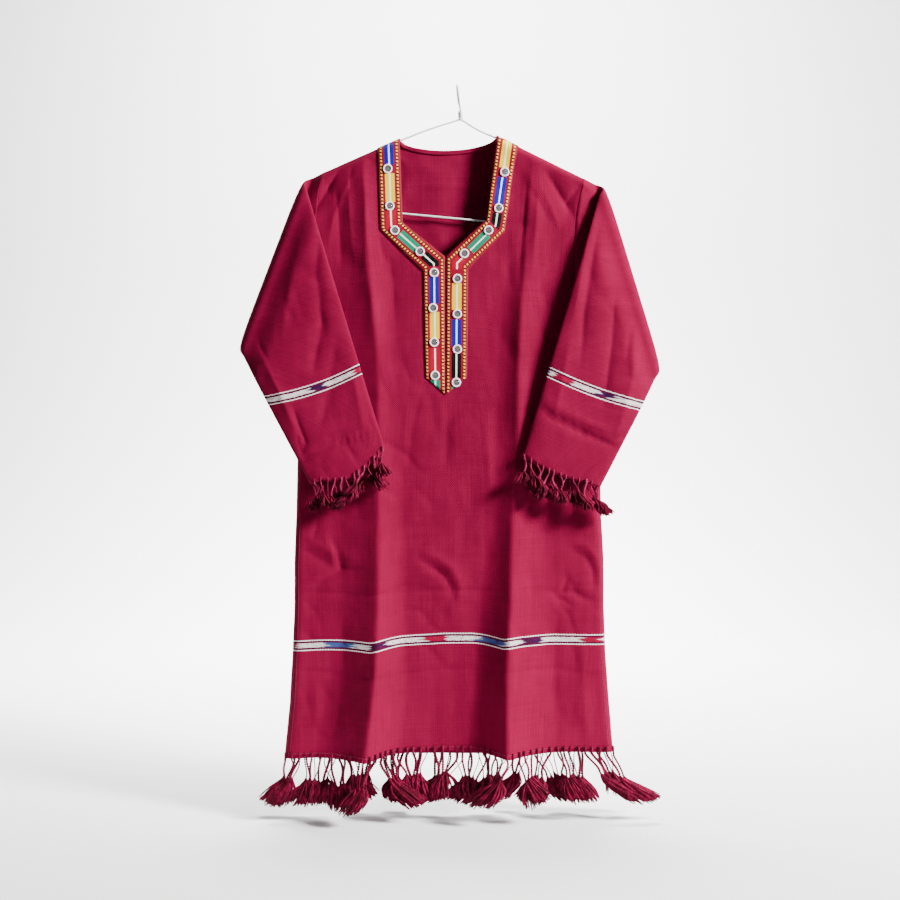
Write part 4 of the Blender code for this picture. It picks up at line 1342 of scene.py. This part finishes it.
def make_thread(name, dark, light):
    shader = Shader(name)
    twist = shader.noise(shader.place(), 1400.0, 2.0)
    colour = shader.blend(twist, dark, light)
    return shader.finish(
        Base_Color=colour,
        Roughness=0.75,
        Specular_IOR_Level=0.15,
        Normal=shader.bump(twist, 0.0003, 0.5),
    )


glass = make_glass()
white_thread = make_thread("white_thread", (0.8, 0.77, 0.78), (0.95, 0.94, 0.94))
rim_thread = make_thread("rim_thread", (0.05, 0.03, 0.04), (0.14, 0.09, 0.11))
maroon_thread = make_thread("maroon_thread", (0.13, 0.006, 0.03), (0.34, 0.05, 0.1))
print("finishes:", glass.name, white_thread.name, rim_thread.name, maroon_thread.name)


# %% Model one mirror
GLASS_RADIUS = 3.9
GLASS_WALL = 0.7
RIM_RADIUS = 4.3
RIM_THICKNESS = 0.5
RING_RADIUS = 5.95
RING_THICKNESS = 1.25
RING_RIBS = 40


def take_mesh(material):
    """The active object's mesh, with a material, and the object itself removed."""
    thing = bpy.context.view_layer.objects.active
    mesh = thing.data
    mesh.shade_smooth()
    mesh.materials.clear()
    mesh.materials.append(material)
    bpy.data.objects.remove(thing)
    return mesh


def select_faces(mesh, wanted):
    """Selects the faces of the mesh in edit mode that a test picks by their middle."""
    work = bmesh.from_edit_mesh(mesh)
    for face in work.faces:
        face.select = wanted(face.calc_center_median(), face.normal)
    bmesh.update_edit_mesh(mesh)


def model_disc():
    bpy.ops.mesh.primitive_cylinder_add(
        vertices=20,
        radius=GLASS_RADIUS,
        depth=GLASS_WALL,
        location=(0.0, 0.0, GLASS_WALL / 2),
    )
    mesh = bpy.context.view_layer.objects.active.data
    bpy.ops.object.mode_set(mode="EDIT")
    bpy.ops.mesh.select_mode(type="FACE")
    select_faces(mesh, lambda middle, normal: normal.z > 0.5)
    bpy.ops.mesh.inset(thickness=0.7, depth=0.12)
    bpy.ops.mesh.inset(thickness=1.6, depth=0.1)
    bpy.ops.object.mode_set(mode="OBJECT")
    bpy.ops.object.transform_apply(location=True, rotation=True, scale=True)
    return take_mesh(glass)


def model_ring(radius, thickness, ribs, material):
    """A ring of thread whose ribs are thick and thin by turns, as close stitches are."""
    bpy.ops.mesh.primitive_torus_add(
        location=(0.0, 0.0, GLASS_WALL),
        major_radius=radius,
        minor_radius=thickness,
        major_segments=ribs,
        minor_segments=6,
    )
    bpy.ops.object.transform_apply(location=True, rotation=True, scale=True)
    ring = bpy.context.view_layer.objects.active.data
    for vertex in ring.vertices:
        turn = round(math.atan2(vertex.co.y, vertex.co.x) / TURN * ribs)
        middle = Vector((vertex.co.x, vertex.co.y, 0.0)).normalized() * radius
        middle.z = GLASS_WALL
        swell = 1.12 if turn % 2 else 0.86
        vertex.co = middle + (vertex.co - middle) * swell
    return take_mesh(material)


disc_model = model_disc()
rim_model = model_ring(RIM_RADIUS, RIM_THICKNESS, RING_RIBS // 2, rim_thread)
ring_model = model_ring(RING_RADIUS, RING_THICKNESS, RING_RIBS, white_thread)
print("faces of one mirror:", sum(len(model.polygons) for model in (disc_model, rim_model, ring_model)))

# %% Sew on the sixteen mirrors
MIRRORS = {
    "left": [
        (-106.3, -129.4),
        (-103.2, -186.3),
        (-95.5, -223.3),
        (-57.0, -255.6),
        (-35.4, -288.0),
        (-37.0, -341.9),
        (-35.4, -394.2),
        (-33.9, -445.1),
    ],
    "right": [
        (72.4, -134.0),
        (63.1, -189.4),
        (47.7, -223.3),
        (10.8, -258.7),
        (0.0, -297.2),
        (0.0, -351.1),
        (0.0, -405.0),
        (-1.5, -455.8),
    ],
}


MIRROR_SPIN = 0.7  # each mirror's stitches start at another place


def copies(name, model, frames):
    """One mesh made of copies of a model, each placed by a matrix in millimetres."""
    points = []
    faces = []
    for frame_matrix in frames:
        start = len(points)
        points += [frame_matrix @ vertex.co for vertex in model.vertices]
        faces += [[start + index for index in polygon.vertices] for polygon in model.polygons]
    return make_piece(name, points, faces, model.materials[0])


def mirror_frames(side):
    """Where each mirror of a ribbon lies, turned to face away from the cloth under it."""
    sheet, _ = ribbon_sheets[side]
    normals = sheet.normals()
    frames = []
    for number, (x, z) in enumerate(MIRRORS[side]):
        gaps = [math.hypot(point.x - x, point.z - z) for point in sheet.points]
        near = gaps.index(min(gaps))
        normal = normals[near]
        if normal.y > 0:
            normal = -normal
        place = Vector((x, sheet.points[near].y, z)) + normal * (RIBBON_WALL / 2)
        turn = normal.to_track_quat("Z", "Y").to_matrix().to_4x4()
        spin = Matrix.Rotation(number * MIRROR_SPIN, 4, "Z")
        frames.append(Matrix.Translation(place) @ turn @ spin)
    return frames


mirrors = {}
for side in MIRRORS:
    frames = mirror_frames(side)
    mirrors[side] = [
        copies(f"mirror_glass_{side}", disc_model, frames),
        copies(f"mirror_rims_{side}", rim_model, frames),
        copies(f"mirror_stitches_{side}", ring_model, frames),
    ]
print("mirrors:", sum(len(places) for places in MIRRORS.values()))

# %% [markdown]
# ## Sewing
# Straight machine stitches hold the hems, the slits and both edges of the ribbons. One stitch is a small
# pointed bead of thread. It is copied along each seam line, every copy turned to follow it.

# %% Model one stitch
STITCH = Vector((2.6, 0.84, 0.72))  # a stitch's length, breadth and height
STITCH_PITCH = 3.5
RIBBON_PITCH = 4.2
STITCH_LIFT = 0.1  # how far a stitch's middle lies above the cloth


def model_stitch():
    bpy.ops.mesh.primitive_uv_sphere_add(segments=6, ring_count=4, radius=1.0)
    thing = bpy.context.view_layer.objects.active
    thing.rotation_euler = (0.0, math.radians(90.0), 0.0)
    bpy.ops.object.transform_apply(location=True, rotation=True, scale=True)
    thing.scale = STITCH / 2
    bpy.ops.object.transform_apply(location=True, rotation=True, scale=True)
    return take_mesh(maroon_thread)


stitch_model = model_stitch()
print("faces of one stitch:", len(stitch_model.polygons))


# %% Lay stitches along a line
def measure(path):
    """The distance of each of a path's points from its start."""
    lengths = [0.0]
    for (a, _), (b, _) in zip(path, path[1:]):
        lengths.append(lengths[-1] + (b - a).length)
    return lengths


def point_along(path, lengths, distance):
    """The point, the normal and the direction at a distance along a path of (point, normal) pairs."""
    low = 0
    high = len(lengths) - 2
    while low < high:
        middle = (low + high + 1) // 2
        if lengths[middle] <= distance:
            low = middle
        else:
            high = middle - 1
    (a, first), (b, second) = path[low], path[low + 1]
    share = clamp((distance - lengths[low]) / max(lengths[low + 1] - lengths[low], 1e-6))
    return a.lerp(b, share), first.lerp(second, share).normalized(), (b - a).normalized()


def stitch_frames(path, pitch=STITCH_PITCH):
    """A matrix for each stitch along a path."""
    lengths = measure(path)
    frames = []
    distance = pitch / 2
    while distance < lengths[-1]:
        point, normal, along = point_along(path, lengths, distance)
        across = normal.cross(along).normalized()
        up = along.cross(across).normalized()
        turn = Matrix((along, across, up)).transposed().to_4x4()
        frames.append(Matrix.Translation(point) @ turn)
        distance += pitch
    return frames


def seam_line(sheet, normals, numbers, lift):
    return [(sheet.points[number] + normals[number] * lift, normals[number]) for number in numbers]


def outward_normals(sheet, toward):
    """Normals that all point to the side that a test picks."""
    return [normal if toward(normal) else -normal for normal in sheet.normals()]


front_normals = outward_normals(front_sheet, lambda normal: normal.y < 0)
back_normals = outward_normals(back_sheet, lambda normal: normal.y > 0)
print("seam lines ready")

# %% Stitch the hems, the slits and the ribbons
HEM_STITCH_ROW = -3
SLIT_STITCH_COLUMN = 5
SLIT_START = SECTIONS.index(float(SLIT_TOP))
CORNER = 4  # the hem's stitches stop this many columns from its corners
RIBBON_STITCH_INSET = 0.06  # the ribbon's stitches lie inside its edge by this share of its width


def panel_stitches(sheet, rows, normals):
    lift = WALL / 2 + STITCH_LIFT
    hem_row = rows["left"][HEM_STITCH_ROW] + rows["right"][HEM_STITCH_ROW][-2::-1]
    frames = stitch_frames(seam_line(sheet, normals, hem_row[CORNER:-CORNER], lift))
    for side in HALVES:
        column = [row[SLIT_STITCH_COLUMN] for row in rows[side][SLIT_START:HEM_STITCH_ROW]]
        frames += stitch_frames(seam_line(sheet, normals, column, lift))
    return frames


front_frames = panel_stitches(front_sheet, front_rows, front_normals)
back_frames = panel_stitches(back_sheet, back_rows, back_normals)
front_stitches = copies("front_stitches", stitch_model, front_frames)
back_stitches = copies("back_stitches", stitch_model, back_frames)

ribbon_frames = []
for side, (sheet, grid) in ribbon_sheets.items():
    normals = outward_normals(sheet, lambda normal: normal.y < 0)
    for near, far in ((0, -1), (-1, 0)):
        line = []
        for row in grid:
            inside = sheet.points[row[near]].lerp(sheet.points[row[far]], RIBBON_STITCH_INSET)
            normal = normals[row[near]]
            line.append((inside + normal * (RIBBON_WALL / 2 + STITCH_LIFT / 2), normal))
        ribbon_frames += stitch_frames(line, RIBBON_PITCH)
ribbon_stitches = copies("ribbon_stitches", stitch_model, ribbon_frames)
print("stitches on the ribbons:", len(ribbon_frames))

# %% [markdown]
# ## Fringe
# At each edge the warp ends are twisted two by two into cords, and the last part of each cord opens into
# a soft tuft. A cord here is two plies wound round a hanging line. A tuft is a few dozen thin strands
# that leave the cord's end, spread and wave. Neighbouring cords lean together, as real ones tangle, and
# near the corners of the hem they sweep outwards. The cuffs' cords are paler than the hem's.


# %% The yarn's finish
TUFT_STOPS = [
    (0.36, (0.035, 0.0004, 0.005)),
    (0.5, (0.085, 0.001, 0.013)),
    (0.66, (0.27, 0.004, 0.045)),
]
CORD_STOPS = [
    (0.34, (0.09, 0.001, 0.015)),
    (0.5, (0.2, 0.008, 0.04)),
    (0.64, (0.36, 0.035, 0.1)),
]


def make_yarn(name, stops):
    shader = Shader(name)
    place = shader.place()
    parts = shader.node("ShaderNodeSeparateXYZ", Vector=place)
    x, y, z = (shader.out(parts, number) for number in range(3))
    broad = shader.noise(place, 60.0, 2.0)
    fine = shader.noise(shader.vector(x, y, z * 0.08), 850.0, 2.0)
    tone = broad * 0.4 + fine * 0.6
    colour = shader.ramp(tone, stops)
    return shader.finish(
        Base_Color=colour,
        Roughness=0.85,
        Specular_IOR_Level=0.1,
        Normal=shader.bump(fine, 0.0003, 0.4),
    )


tuft_yarn = make_yarn("tuft_yarn", TUFT_STOPS)
pink_yarn = make_yarn("pink_yarn", CORD_STOPS)
print("yarns:", tuft_yarn.name, pink_yarn.name)


# %% Wind a cord and open a tuft
CORD_FINISH = 0  # which of a fringe's two finishes a thread has
TUFT_FINISH = 1
PLY_SIDES = 5
STRAND_SIDES = 3
STRAND_RADII = [0.8, 1.2, 1.35, 1.35, 1.3, 1.15, 0.8]
PLY_RADIUS = 0.56  # a ply's radius and its distance from the cord's middle, as shares of the cord's radius
PLY_PLACE = 0.5


class Yarn:
    """Points and faces of many thin threads, gathered into one mesh."""

    def __init__(self):
        self.points = []
        self.faces = []
        self.finishes = []

    def tube(self, centres, radii, frames, sides, finish):
        """A closed thread through a list of centres. Each frame is two directions across it."""
        start = len(self.points)
        for centre, radius, (first, second) in zip(centres, radii, frames):
            for side in range(sides):
                angle = TURN * side / sides
                self.points.append(centre + (first * math.cos(angle) + second * math.sin(angle)) * radius)
        for ring in range(len(centres) - 1):
            a = start + ring * sides
            for side in range(sides):
                following = (side + 1) % sides
                self.faces.append((a + side, a + following, a + sides + following, a + sides + side))
        self.faces.append([start + side for side in range(sides)][::-1])
        end = start + (len(centres) - 1) * sides
        self.faces.append([end + side for side in range(sides)])
        self.finishes += [finish] * (len(self.faces) - len(self.finishes))


def cross_frames(route):
    """Two directions across a route at each of its points."""
    frames = []
    for number in range(len(route)):
        before = route[max(number - 1, 0)]
        after = route[min(number + 1, len(route) - 1)]
        along = (after - before).normalized()
        reference = Vector((1.0, 0.0, 0.0)) if abs(along.x) < 0.8 else Vector((0.0, 0.0, 1.0))
        first = (reference - along * reference.dot(along)).normalized()
        frames.append((first, along.cross(first)))
    return frames


def wind_cord(yarn, route, radius, pitch):
    """Two plies wound round a route."""
    frames = cross_frames(route)
    run = 0.0
    turns = [0.0]
    for a, b in zip(route, route[1:]):
        run += (b - a).length
        turns.append(run / pitch * TURN)
    for ply in range(2):
        centres = []
        for centre, (first, second), turn in zip(route, frames, turns):
            angle = turn + ply * math.pi
            centres.append(centre + (first * math.cos(angle) + second * math.sin(angle)) * radius * PLY_PLACE)
        yarn.tube(centres, [radius * PLY_RADIUS] * len(route), frames, PLY_SIDES, CORD_FINISH)


def open_tuft(yarn, top, drift, length, spread, strands, chance):
    """Thin strands from the end of a cord, which spread as they fall."""
    for _ in range(strands):
        angle = chance.uniform(0.0, TURN)
        out = spread * math.sqrt(chance.random())
        aim = Vector((out * math.cos(angle), out * 0.5 * math.sin(angle), 0.0))
        reach = length * (1.0 - 0.25 * (out / spread) ** 2) * chance.uniform(0.85, 1.0)
        wave = chance.uniform(0.0, TURN)
        sway = chance.uniform(0.4, 1.6)
        route = []
        for step in range(len(STRAND_RADII)):
            t = step / (len(STRAND_RADII) - 1)
            point = top + Vector((0.0, 0.0, -reach * t)) + drift * t**1.5
            point += aim * smooth(t * 1.5) * (1.0 + 0.25 * t)
            point.x += sway * t * math.sin(wave + 5.0 * t)
            point.y += sway * 0.5 * t * math.cos(wave + 4.0 * t)
            route.append(point)
        yarn.tube(route, STRAND_RADII, cross_frames(route), STRAND_SIDES, TUFT_FINISH)


print("a tuft's strand has", len(STRAND_RADII), "rings of", STRAND_SIDES, "points")

# %% Hang a fringe from an edge
# In millimetres: from cord to cord, the lengths of a cord and its tuft, the cord's radius, how far its
# strands spread and how many they are, how far it starts above the edge, and how far a group sweeps.
Lock = namedtuple("Lock", "pitch cord tuft radius spread strands tuck sweep")
HEM_LOCK = Lock(11.0, 35.0, 45.0, 1.9, 14.0, 46, 9.0, 30.0)
CUFF_LOCK = Lock(10.0, 22.0, 22.0, 1.5, 9.0, 28, 6.0, 9.0)
CORD_SIZES = (0.5, 0.6, 1.0, 1.1, 1.25, 1.45)
TWIST_PITCH = 7.5  # one turn of a cord's two plies
TUCK_STEPS = 4
HANG_STEPS = 22
LEAN_CURVE = 1.4  # a cord leans more and more towards its end
GATHER = 0.5  # how far the cords of a group come together
GROUPS = (3, 3, 4, 5)
GROUP_DROP = (-2.0, 3.0)
GROUP_PULL = 0.4
CORD_STRAY = 0.18
CORD_SHARE = (0.86, 1.1)
CORD_BOW = 4.6
CORD_TREMOR = 0.12
TUFT_STRAY = 7.0
TUFT_OVERLAP = 1.5


def level(normal):
    return Vector((normal.x, normal.y, 0.0)).normalized()


def hang_cord(point, direction, radius, cord, lock, leaning, gather, pull, chance):
    """The route of one cord: over the edge of the cloth, then down."""
    bow = chance.uniform(-CORD_BOW, CORD_BOW)
    lift = WALL / 2 + radius * 0.75
    route = []
    for step in range(TUCK_STEPS):
        up = lock.tuck * (1.0 - step / TUCK_STEPS)
        route.append(point + direction * lift + Vector((0.0, 0.0, up)))
    for step in range(HANG_STEPS + 1):
        t = step / HANG_STEPS
        whole = cord * t / (cord + lock.tuft)
        hang = point + direction * (lift * (1.0 - smooth(t * 5.0)))
        hang = hang + Vector((0.0, 0.0, -cord * t)) + leaning * whole**LEAN_CURVE
        hang = hang + gather * smooth(t)
        hang.x += pull * smooth(t) + bow * math.sin(math.pi * t)
        hang.y += chance.uniform(-CORD_TREMOR, CORD_TREMOR)
        route.append(hang)
    return route


def hang_fringe(name, path, lock, lean, seed, cord_yarn):
    """Cords from just above an edge, over it and down, in groups that lean together, each with a tuft."""
    chance = random.Random(seed)
    yarn = Yarn()
    lengths = measure(path)
    count = round(lengths[-1] / lock.pitch)
    pitch = lengths[-1] / count
    number = 0
    while number < count:
        group = min(chance.choice(GROUPS), count - number)
        middle = (number + group / 2) * pitch
        near, _, _ = point_along(path, lengths, clamp(middle, 0.0, lengths[-1]))
        sweep = chance.uniform(-lock.sweep, lock.sweep)
        drop = chance.uniform(*GROUP_DROP)
        for place in range(number, number + group):
            distance = (place + 0.5 + chance.uniform(-CORD_STRAY, CORD_STRAY)) * pitch
            point, normal, _ = point_along(path, lengths, distance)
            radius = lock.radius * chance.choice(CORD_SIZES)
            cord = lock.cord * chance.uniform(*CORD_SHARE) + drop
            gather = (near - point) * GATHER
            gather.z = 0.0
            leaning = lean(point)
            pull = sweep * GROUP_PULL
            route = hang_cord(point, level(normal), radius, cord, lock, leaning, gather, pull, chance)
            wind_cord(yarn, route, radius, TWIST_PITCH)
            drift = leaning * (1.0 - (cord / (cord + lock.tuft)) ** LEAN_CURVE)
            drift.x += sweep + chance.uniform(-TUFT_STRAY, TUFT_STRAY)
            strands = round(lock.strands * clamp(radius / lock.radius, 0.5, 1.2))
            top = route[-1] + Vector((0.0, 0.0, TUFT_OVERLAP))
            open_tuft(yarn, top, drift, lock.tuft, lock.spread, strands, chance)
        number += group
    piece = make_piece(name, yarn.points, yarn.faces, cord_yarn)
    piece.data.materials.append(tuft_yarn)
    piece.data.polygons.foreach_set("material_index", yarn.finishes)
    print(f"{name}: {count} cords, {len(yarn.faces)} faces")
    return piece


LEAN_LEFT = 26.0  # how far the fringe at the hem's corners sweeps outwards
LEAN_RIGHT = 30.0
LEAN_REACH = 110.0  # and how far from a corner this begins
CUFF_LEAN = 7.0


def hem_lean(point):
    left = smooth((FRONT_LEFT[HEM].edge_x + LEAN_REACH - point.x) / LEAN_REACH)
    right = smooth((point.x - FRONT_RIGHT[HEM].edge_x + LEAN_REACH) / LEAN_REACH)
    return Vector((LEAN_RIGHT * right - LEAN_LEFT * left, 0.0, 0.0))


def cuff_lean(_):
    """The fold of the front that lies under a cuff pushes its fringe outwards."""
    return Vector((0.0, -CUFF_LEAN, 0.0))


def hem_path(sheet, rows, normals):
    numbers = rows["left"][-1] + rows["right"][-1][-2::-1]
    return [(sheet.points[number], normals[number]) for number in numbers]


fringes = {}
for side, sheet, rows, normals, seed in (
    ("front", front_sheet, front_rows, front_normals, 3),
    ("back", back_sheet, back_rows, back_normals, 8),
):
    path = hem_path(sheet, rows, normals)
    name = f"fringe_{side}_hem"
    fringes[f"hem_fringe_{side}"] = hang_fringe(name, path, HEM_LOCK, hem_lean, seed, tuft_yarn)

# %% Hang the fringe of the cuffs
for side, (sheet, cuff) in sleeve_sheets.items():
    normals = sheet.normals()
    middle = sum((sheet.points[number] for number in cuff[:-1]), Vector()) / (len(cuff) - 1)
    path = []
    for number in cuff:
        normal = normals[number]
        if normal.dot(sheet.points[number] - middle) < 0:
            normal = -normal
        path.append((sheet.points[number], normal))
    seed = 21 if side == "left" else 34
    name = f"fringe_cuff_{side}"
    fringes[f"cuff_fringe_{side}"] = hang_fringe(name, path, CUFF_LOCK, cuff_lean, seed, pink_yarn)

# %% [markdown]
# ## The hanger
# A laundry hanger is one coated wire: bent to a hook, wound twice round itself below the hook, and run
# down one arm, along the bar and back up. The hook is turned a quarter, so from the front it is a
# straight line. A curve with a round bevel is the natural way to bend wire.

# %% Bend the wire
WIRE = 1.5  # half the wire's thickness
HOOK_RADIUS = 16.0
HOOK_DEGREES = range(240, -31, -9)  # round from where the hook leaves its stem to its free end
TWIST = Vector((5.4, 0.0, -44.0))  # where the wire is wound round itself
COIL_RADIUS = 2.7
COIL_STEPS = 56
COIL_TURN = 16  # steps in one turn
COIL_RISE = 0.24  # and the rise of each
COIL_FOOT = -7.5
CORNER_RADIUS = 16.0
CORNER_STEPS = 8


def make_wire_coat():
    shader = Shader("white_coated_wire")
    dust = shader.noise(shader.place(), 180.0, 3.0)
    colour = shader.ramp(dust, [(0.35, (0.72, 0.72, 0.72)), (0.65, (0.88, 0.88, 0.87))])
    return shader.finish(Base_Color=colour, Roughness=dust * 0.15 + 0.28, Coat_Weight=0.3)


def under_seam(rows, x):
    """The place of the wire under a shoulder seam."""
    tip = rows[0]
    slope = (tip.centre_z - tip.edge_z) / (tip.centre_x - tip.edge_x)
    clear = (CAD_WALL / 2 + 0.4 + WIRE) * math.hypot(1.0, slope)
    return Vector((x, 0.0, tip.edge_z + slope * (x - tip.edge_x) - clear))


def rounded(corners, radius, steps):
    """A route with each of its corners drawn as a small curve."""
    route = [corners[0]]
    for before, corner, after in zip(corners, corners[1:], corners[2:]):
        reach = min(radius, (corner - before).length * 0.45, (after - corner).length * 0.45)
        start = corner + (before - corner).normalized() * reach
        end = corner + (after - corner).normalized() * reach
        for index in range(steps + 1):
            t = index / steps
            route.append(start.lerp(corner, t).lerp(corner.lerp(end, t), t))
    route.append(corners[-1])
    return route


def bend_wire():
    lean = TWIST.x / -TWIST.z
    hook = [Vector((TWIST.x, 0.0, TWIST.z - 8.0 + step * 2.0)) for step in range(9)]
    for degrees in HOOK_DEGREES:
        angle = math.radians(degrees)
        z = WIRE - HOOK_RADIUS + HOOK_RADIUS * math.sin(angle)
        hook.append(Vector((-z * lean, HOOK_RADIUS * math.cos(angle), z)))
    coil = []
    for step in range(COIL_STEPS + 1):
        angle = TURN * step / COIL_TURN
        z = TWIST.z + COIL_FOOT + step * COIL_RISE
        coil.append(Vector((TWIST.x + COIL_RADIUS * math.cos(angle), COIL_RADIUS * math.sin(angle), z)))
    corners = [
        TWIST + Vector((-0.5, 0.0, -6.0)),
        Vector((-47.0, 0.0, -66.5)),
        under_seam(FRONT_LEFT, -88.0),
        under_seam(FRONT_LEFT, -207.0),
        Vector((-206.0, 0.0, -183.5)),
        Vector((196.0, 0.0, -221.0)),
        under_seam(FRONT_RIGHT, 200.0),
        under_seam(FRONT_RIGHT, 61.0),
        Vector((34.0, 0.0, -68.0)),
        TWIST + Vector((0.5, 0.0, -6.0)),
    ]
    curve = bpy.data.curves.new("wire_hanger", "CURVE")
    curve.dimensions = "3D"
    curve.bevel_depth = WIRE * MM
    curve.bevel_resolution = 3
    curve.use_fill_caps = True
    for route in (hook, coil, rounded(corners, CORNER_RADIUS, CORNER_STEPS)):
        spline = curve.splines.new("POLY")
        spline.points.add(len(route) - 1)
        for knot, point in zip(spline.points, route):
            knot.co = (*(point * MM), 1.0)
    wire = bpy.data.objects.new("wire_hanger", curve)
    bpy.context.collection.objects.link(wire)
    bpy.ops.object.select_all(action="DESELECT")
    bpy.context.view_layer.objects.active = wire
    wire.select_set(True)
    bpy.ops.object.convert(target="MESH")
    wire = bpy.context.view_layer.objects.active
    wire.select_set(False)
    wire.data.shade_smooth()
    wire.data.materials.clear()
    wire.data.materials.append(make_wire_coat())
    return wire


hanger = bend_wire()
print("hanger:", len(hanger.data.polygons), "faces")

# %% [markdown]
# ## What rides where
# The tunic has no joints, so every piece rides on the one body. A piece that stands for a node of the
# packed model hides that node, and the area of each sheet of cloth is printed, with the laid-flat size of
# the front and the back.


# %% Tie the pieces to the model
def measured_area(piece):
    return sum(polygon.area for polygon in piece.data.polygons) / 2


def dress(piece, slot, *nodes):
    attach(piece, "root")
    if nodes:
        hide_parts(*nodes)


dress(front, "cloth", "front_panel")
dress(back, "cloth", "back_panel")
dress(binding, "cloth", "back_neck_binding")
dress(hanger, "hanger_wire", "hanger")
for stitches in (front_stitches, back_stitches, ribbon_stitches):
    dress(stitches, "cloth")
for side in HALVES:
    dress(sleeves[side], "cloth", f"sleeve_{side}")
    dress(ribbons[side], "ribbon", f"neck_ribbon_{side}")
    for part in mirrors[side]:
        dress(part, "ribbon")
for node, piece in fringes.items():
    dress(piece, "fringe", node)
for piece in (front, back, *sleeves.values(), *ribbons.values(), binding):
    print(f"{piece.name}: {measured_area(piece):.4f} square metres")
for name, sheet in (("front", front_sheet), ("back", back_sheet)):
    across = [place[0] for place in sheet.flat]
    print(f"{name} laid flat: {max(across) - min(across):.3f} by {max(p[1] for p in sheet.flat):.3f} m")

# %% Gather each ribbon's mirrors, with the ribbon's stitches on the left
for side in HALVES:
    extra = [ribbon_stitches] if side == "left" else []
    mirrors[side] + extra
print("sheets declared:", 2 + len(sleeves) + len(ribbons))

# %% [markdown]
# ## Floor and light
# A pale sweep lies under the fringe and curves up far behind it, as in a photographer's studio, so no
# edge of a floor shows. The main light is soft and comes from the right and a little above, so the left
# flank of each fold falls into shade. Two lamps, narrowed as by a grid, brighten only the sweep, which
# ends half a metre in front of the tunic, because light thrown back by a bright floor would fill the shade.
# A weak lamp behind shows the folds of the back. The room gives little light, but is pale where it shows.

# %% Set the sweep and the lights
FLOOR_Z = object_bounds()[0][2] - 0.012  # in metres, as all that follows
SWEEP_HALF = 2.15  # half its width
SWEEP_FRONT = -0.5
SWEEP_BACK = 3.4
SWEEP_ROUND = 1.4
SWEEP_TOP = 2.8
SWEEP_STEPS = 16


def make_floor_finish():
    shader = Shader("pale_paper")
    grain = shader.noise(shader.place(), 3.0, 2.0)
    colour = shader.ramp(grain, [(0.0, (0.9, 0.9, 0.9)), (1.0, (0.94, 0.94, 0.94))])
    return shader.finish(Base_Color=colour, Roughness=0.95, Specular_IOR_Level=0.1)


def lay_sweep():
    """A floor that curves up into a wall."""
    profile = [(SWEEP_FRONT, 0.0), (SWEEP_BACK - SWEEP_ROUND - 1.0, 0.0)]
    for step in range(SWEEP_STEPS + 1):
        angle = math.pi / 2 * step / SWEEP_STEPS
        y = SWEEP_BACK - SWEEP_ROUND + SWEEP_ROUND * math.sin(angle)
        profile.append((y, SWEEP_ROUND * (1.0 - math.cos(angle))))
    profile.append((SWEEP_BACK, SWEEP_TOP))
    mesh = bpy.data.meshes.new("floor")
    points = [(x, y, FLOOR_Z + z) for y, z in profile for x in (-SWEEP_HALF, SWEEP_HALF)]
    faces = [(2 * n, 2 * n + 1, 2 * n + 3, 2 * n + 2) for n in range(len(profile) - 1)]
    mesh.from_pydata(points, [], faces)
    mesh.shade_smooth()
    mesh.materials.append(make_floor_finish())
    sweep = bpy.data.objects.new("floor", mesh)
    bpy.context.collection.objects.link(sweep)
    return sweep


floor = lay_sweep()


def add_light(name, place, aim, size, power, spread=180.0):
    """A round soft lamp. Its power is in watts, and its spread in degrees."""
    lamp = bpy.data.lights.new(name, "AREA")
    lamp.shape = "DISK"
    lamp.size = size
    lamp.energy = power
    lamp.spread = math.radians(spread)
    light = bpy.data.objects.new(name, lamp)
    light.location = place
    light.rotation_euler = (Vector(aim) - Vector(place)).to_track_quat("-Z", "Y").to_euler()
    bpy.context.collection.objects.link(light)
    return light


add_light("key_light", (2.95, -1.6, 1.1), (0.0, 0.0, -0.5), 1.0, 640.0)
add_light("fill_light", (-1.8, -2.8, 0.1), (0.0, 0.0, -0.6), 2.0, 6.0)
add_light("sweep_light", (0.0, 1.3, 2.3), (0.0, 3.4, -0.3), 2.4, 250.0, 120.0)
add_light("floor_light", (0.0, 1.1, 2.6), (0.0, 1.7, -1.15), 1.6, 105.0, 62.0)
add_light("back_light", (-2.6, 1.9, 0.8), (0.0, 0.0, -0.5), 1.0, 60.0)

ROOM_SEEN = 2.4  # the pale room that shows past the sweep
ROOM_LIGHT = 0.1  # and the little light that it gives
world = bpy.data.worlds.new("studio")
bpy.context.scene.world = world
world.use_nodes = True
backdrop = world.node_tree.nodes["Background"]
backdrop.inputs["Color"].default_value = (1.0, 1.0, 1.0, 1.0)
ray = world.node_tree.nodes.new("ShaderNodeLightPath")
strength = world.node_tree.nodes.new("ShaderNodeMath")
strength.operation = "MULTIPLY_ADD"
strength.inputs[1].default_value = ROOM_SEEN - ROOM_LIGHT
strength.inputs[2].default_value = ROOM_LIGHT
world.node_tree.links.new(ray.outputs["Is Camera Ray"], strength.inputs[0])
world.node_tree.links.new(strength.outputs[0], backdrop.inputs["Strength"])
print("floor at", round(FLOOR_Z, 3), "m")

# %% [markdown]
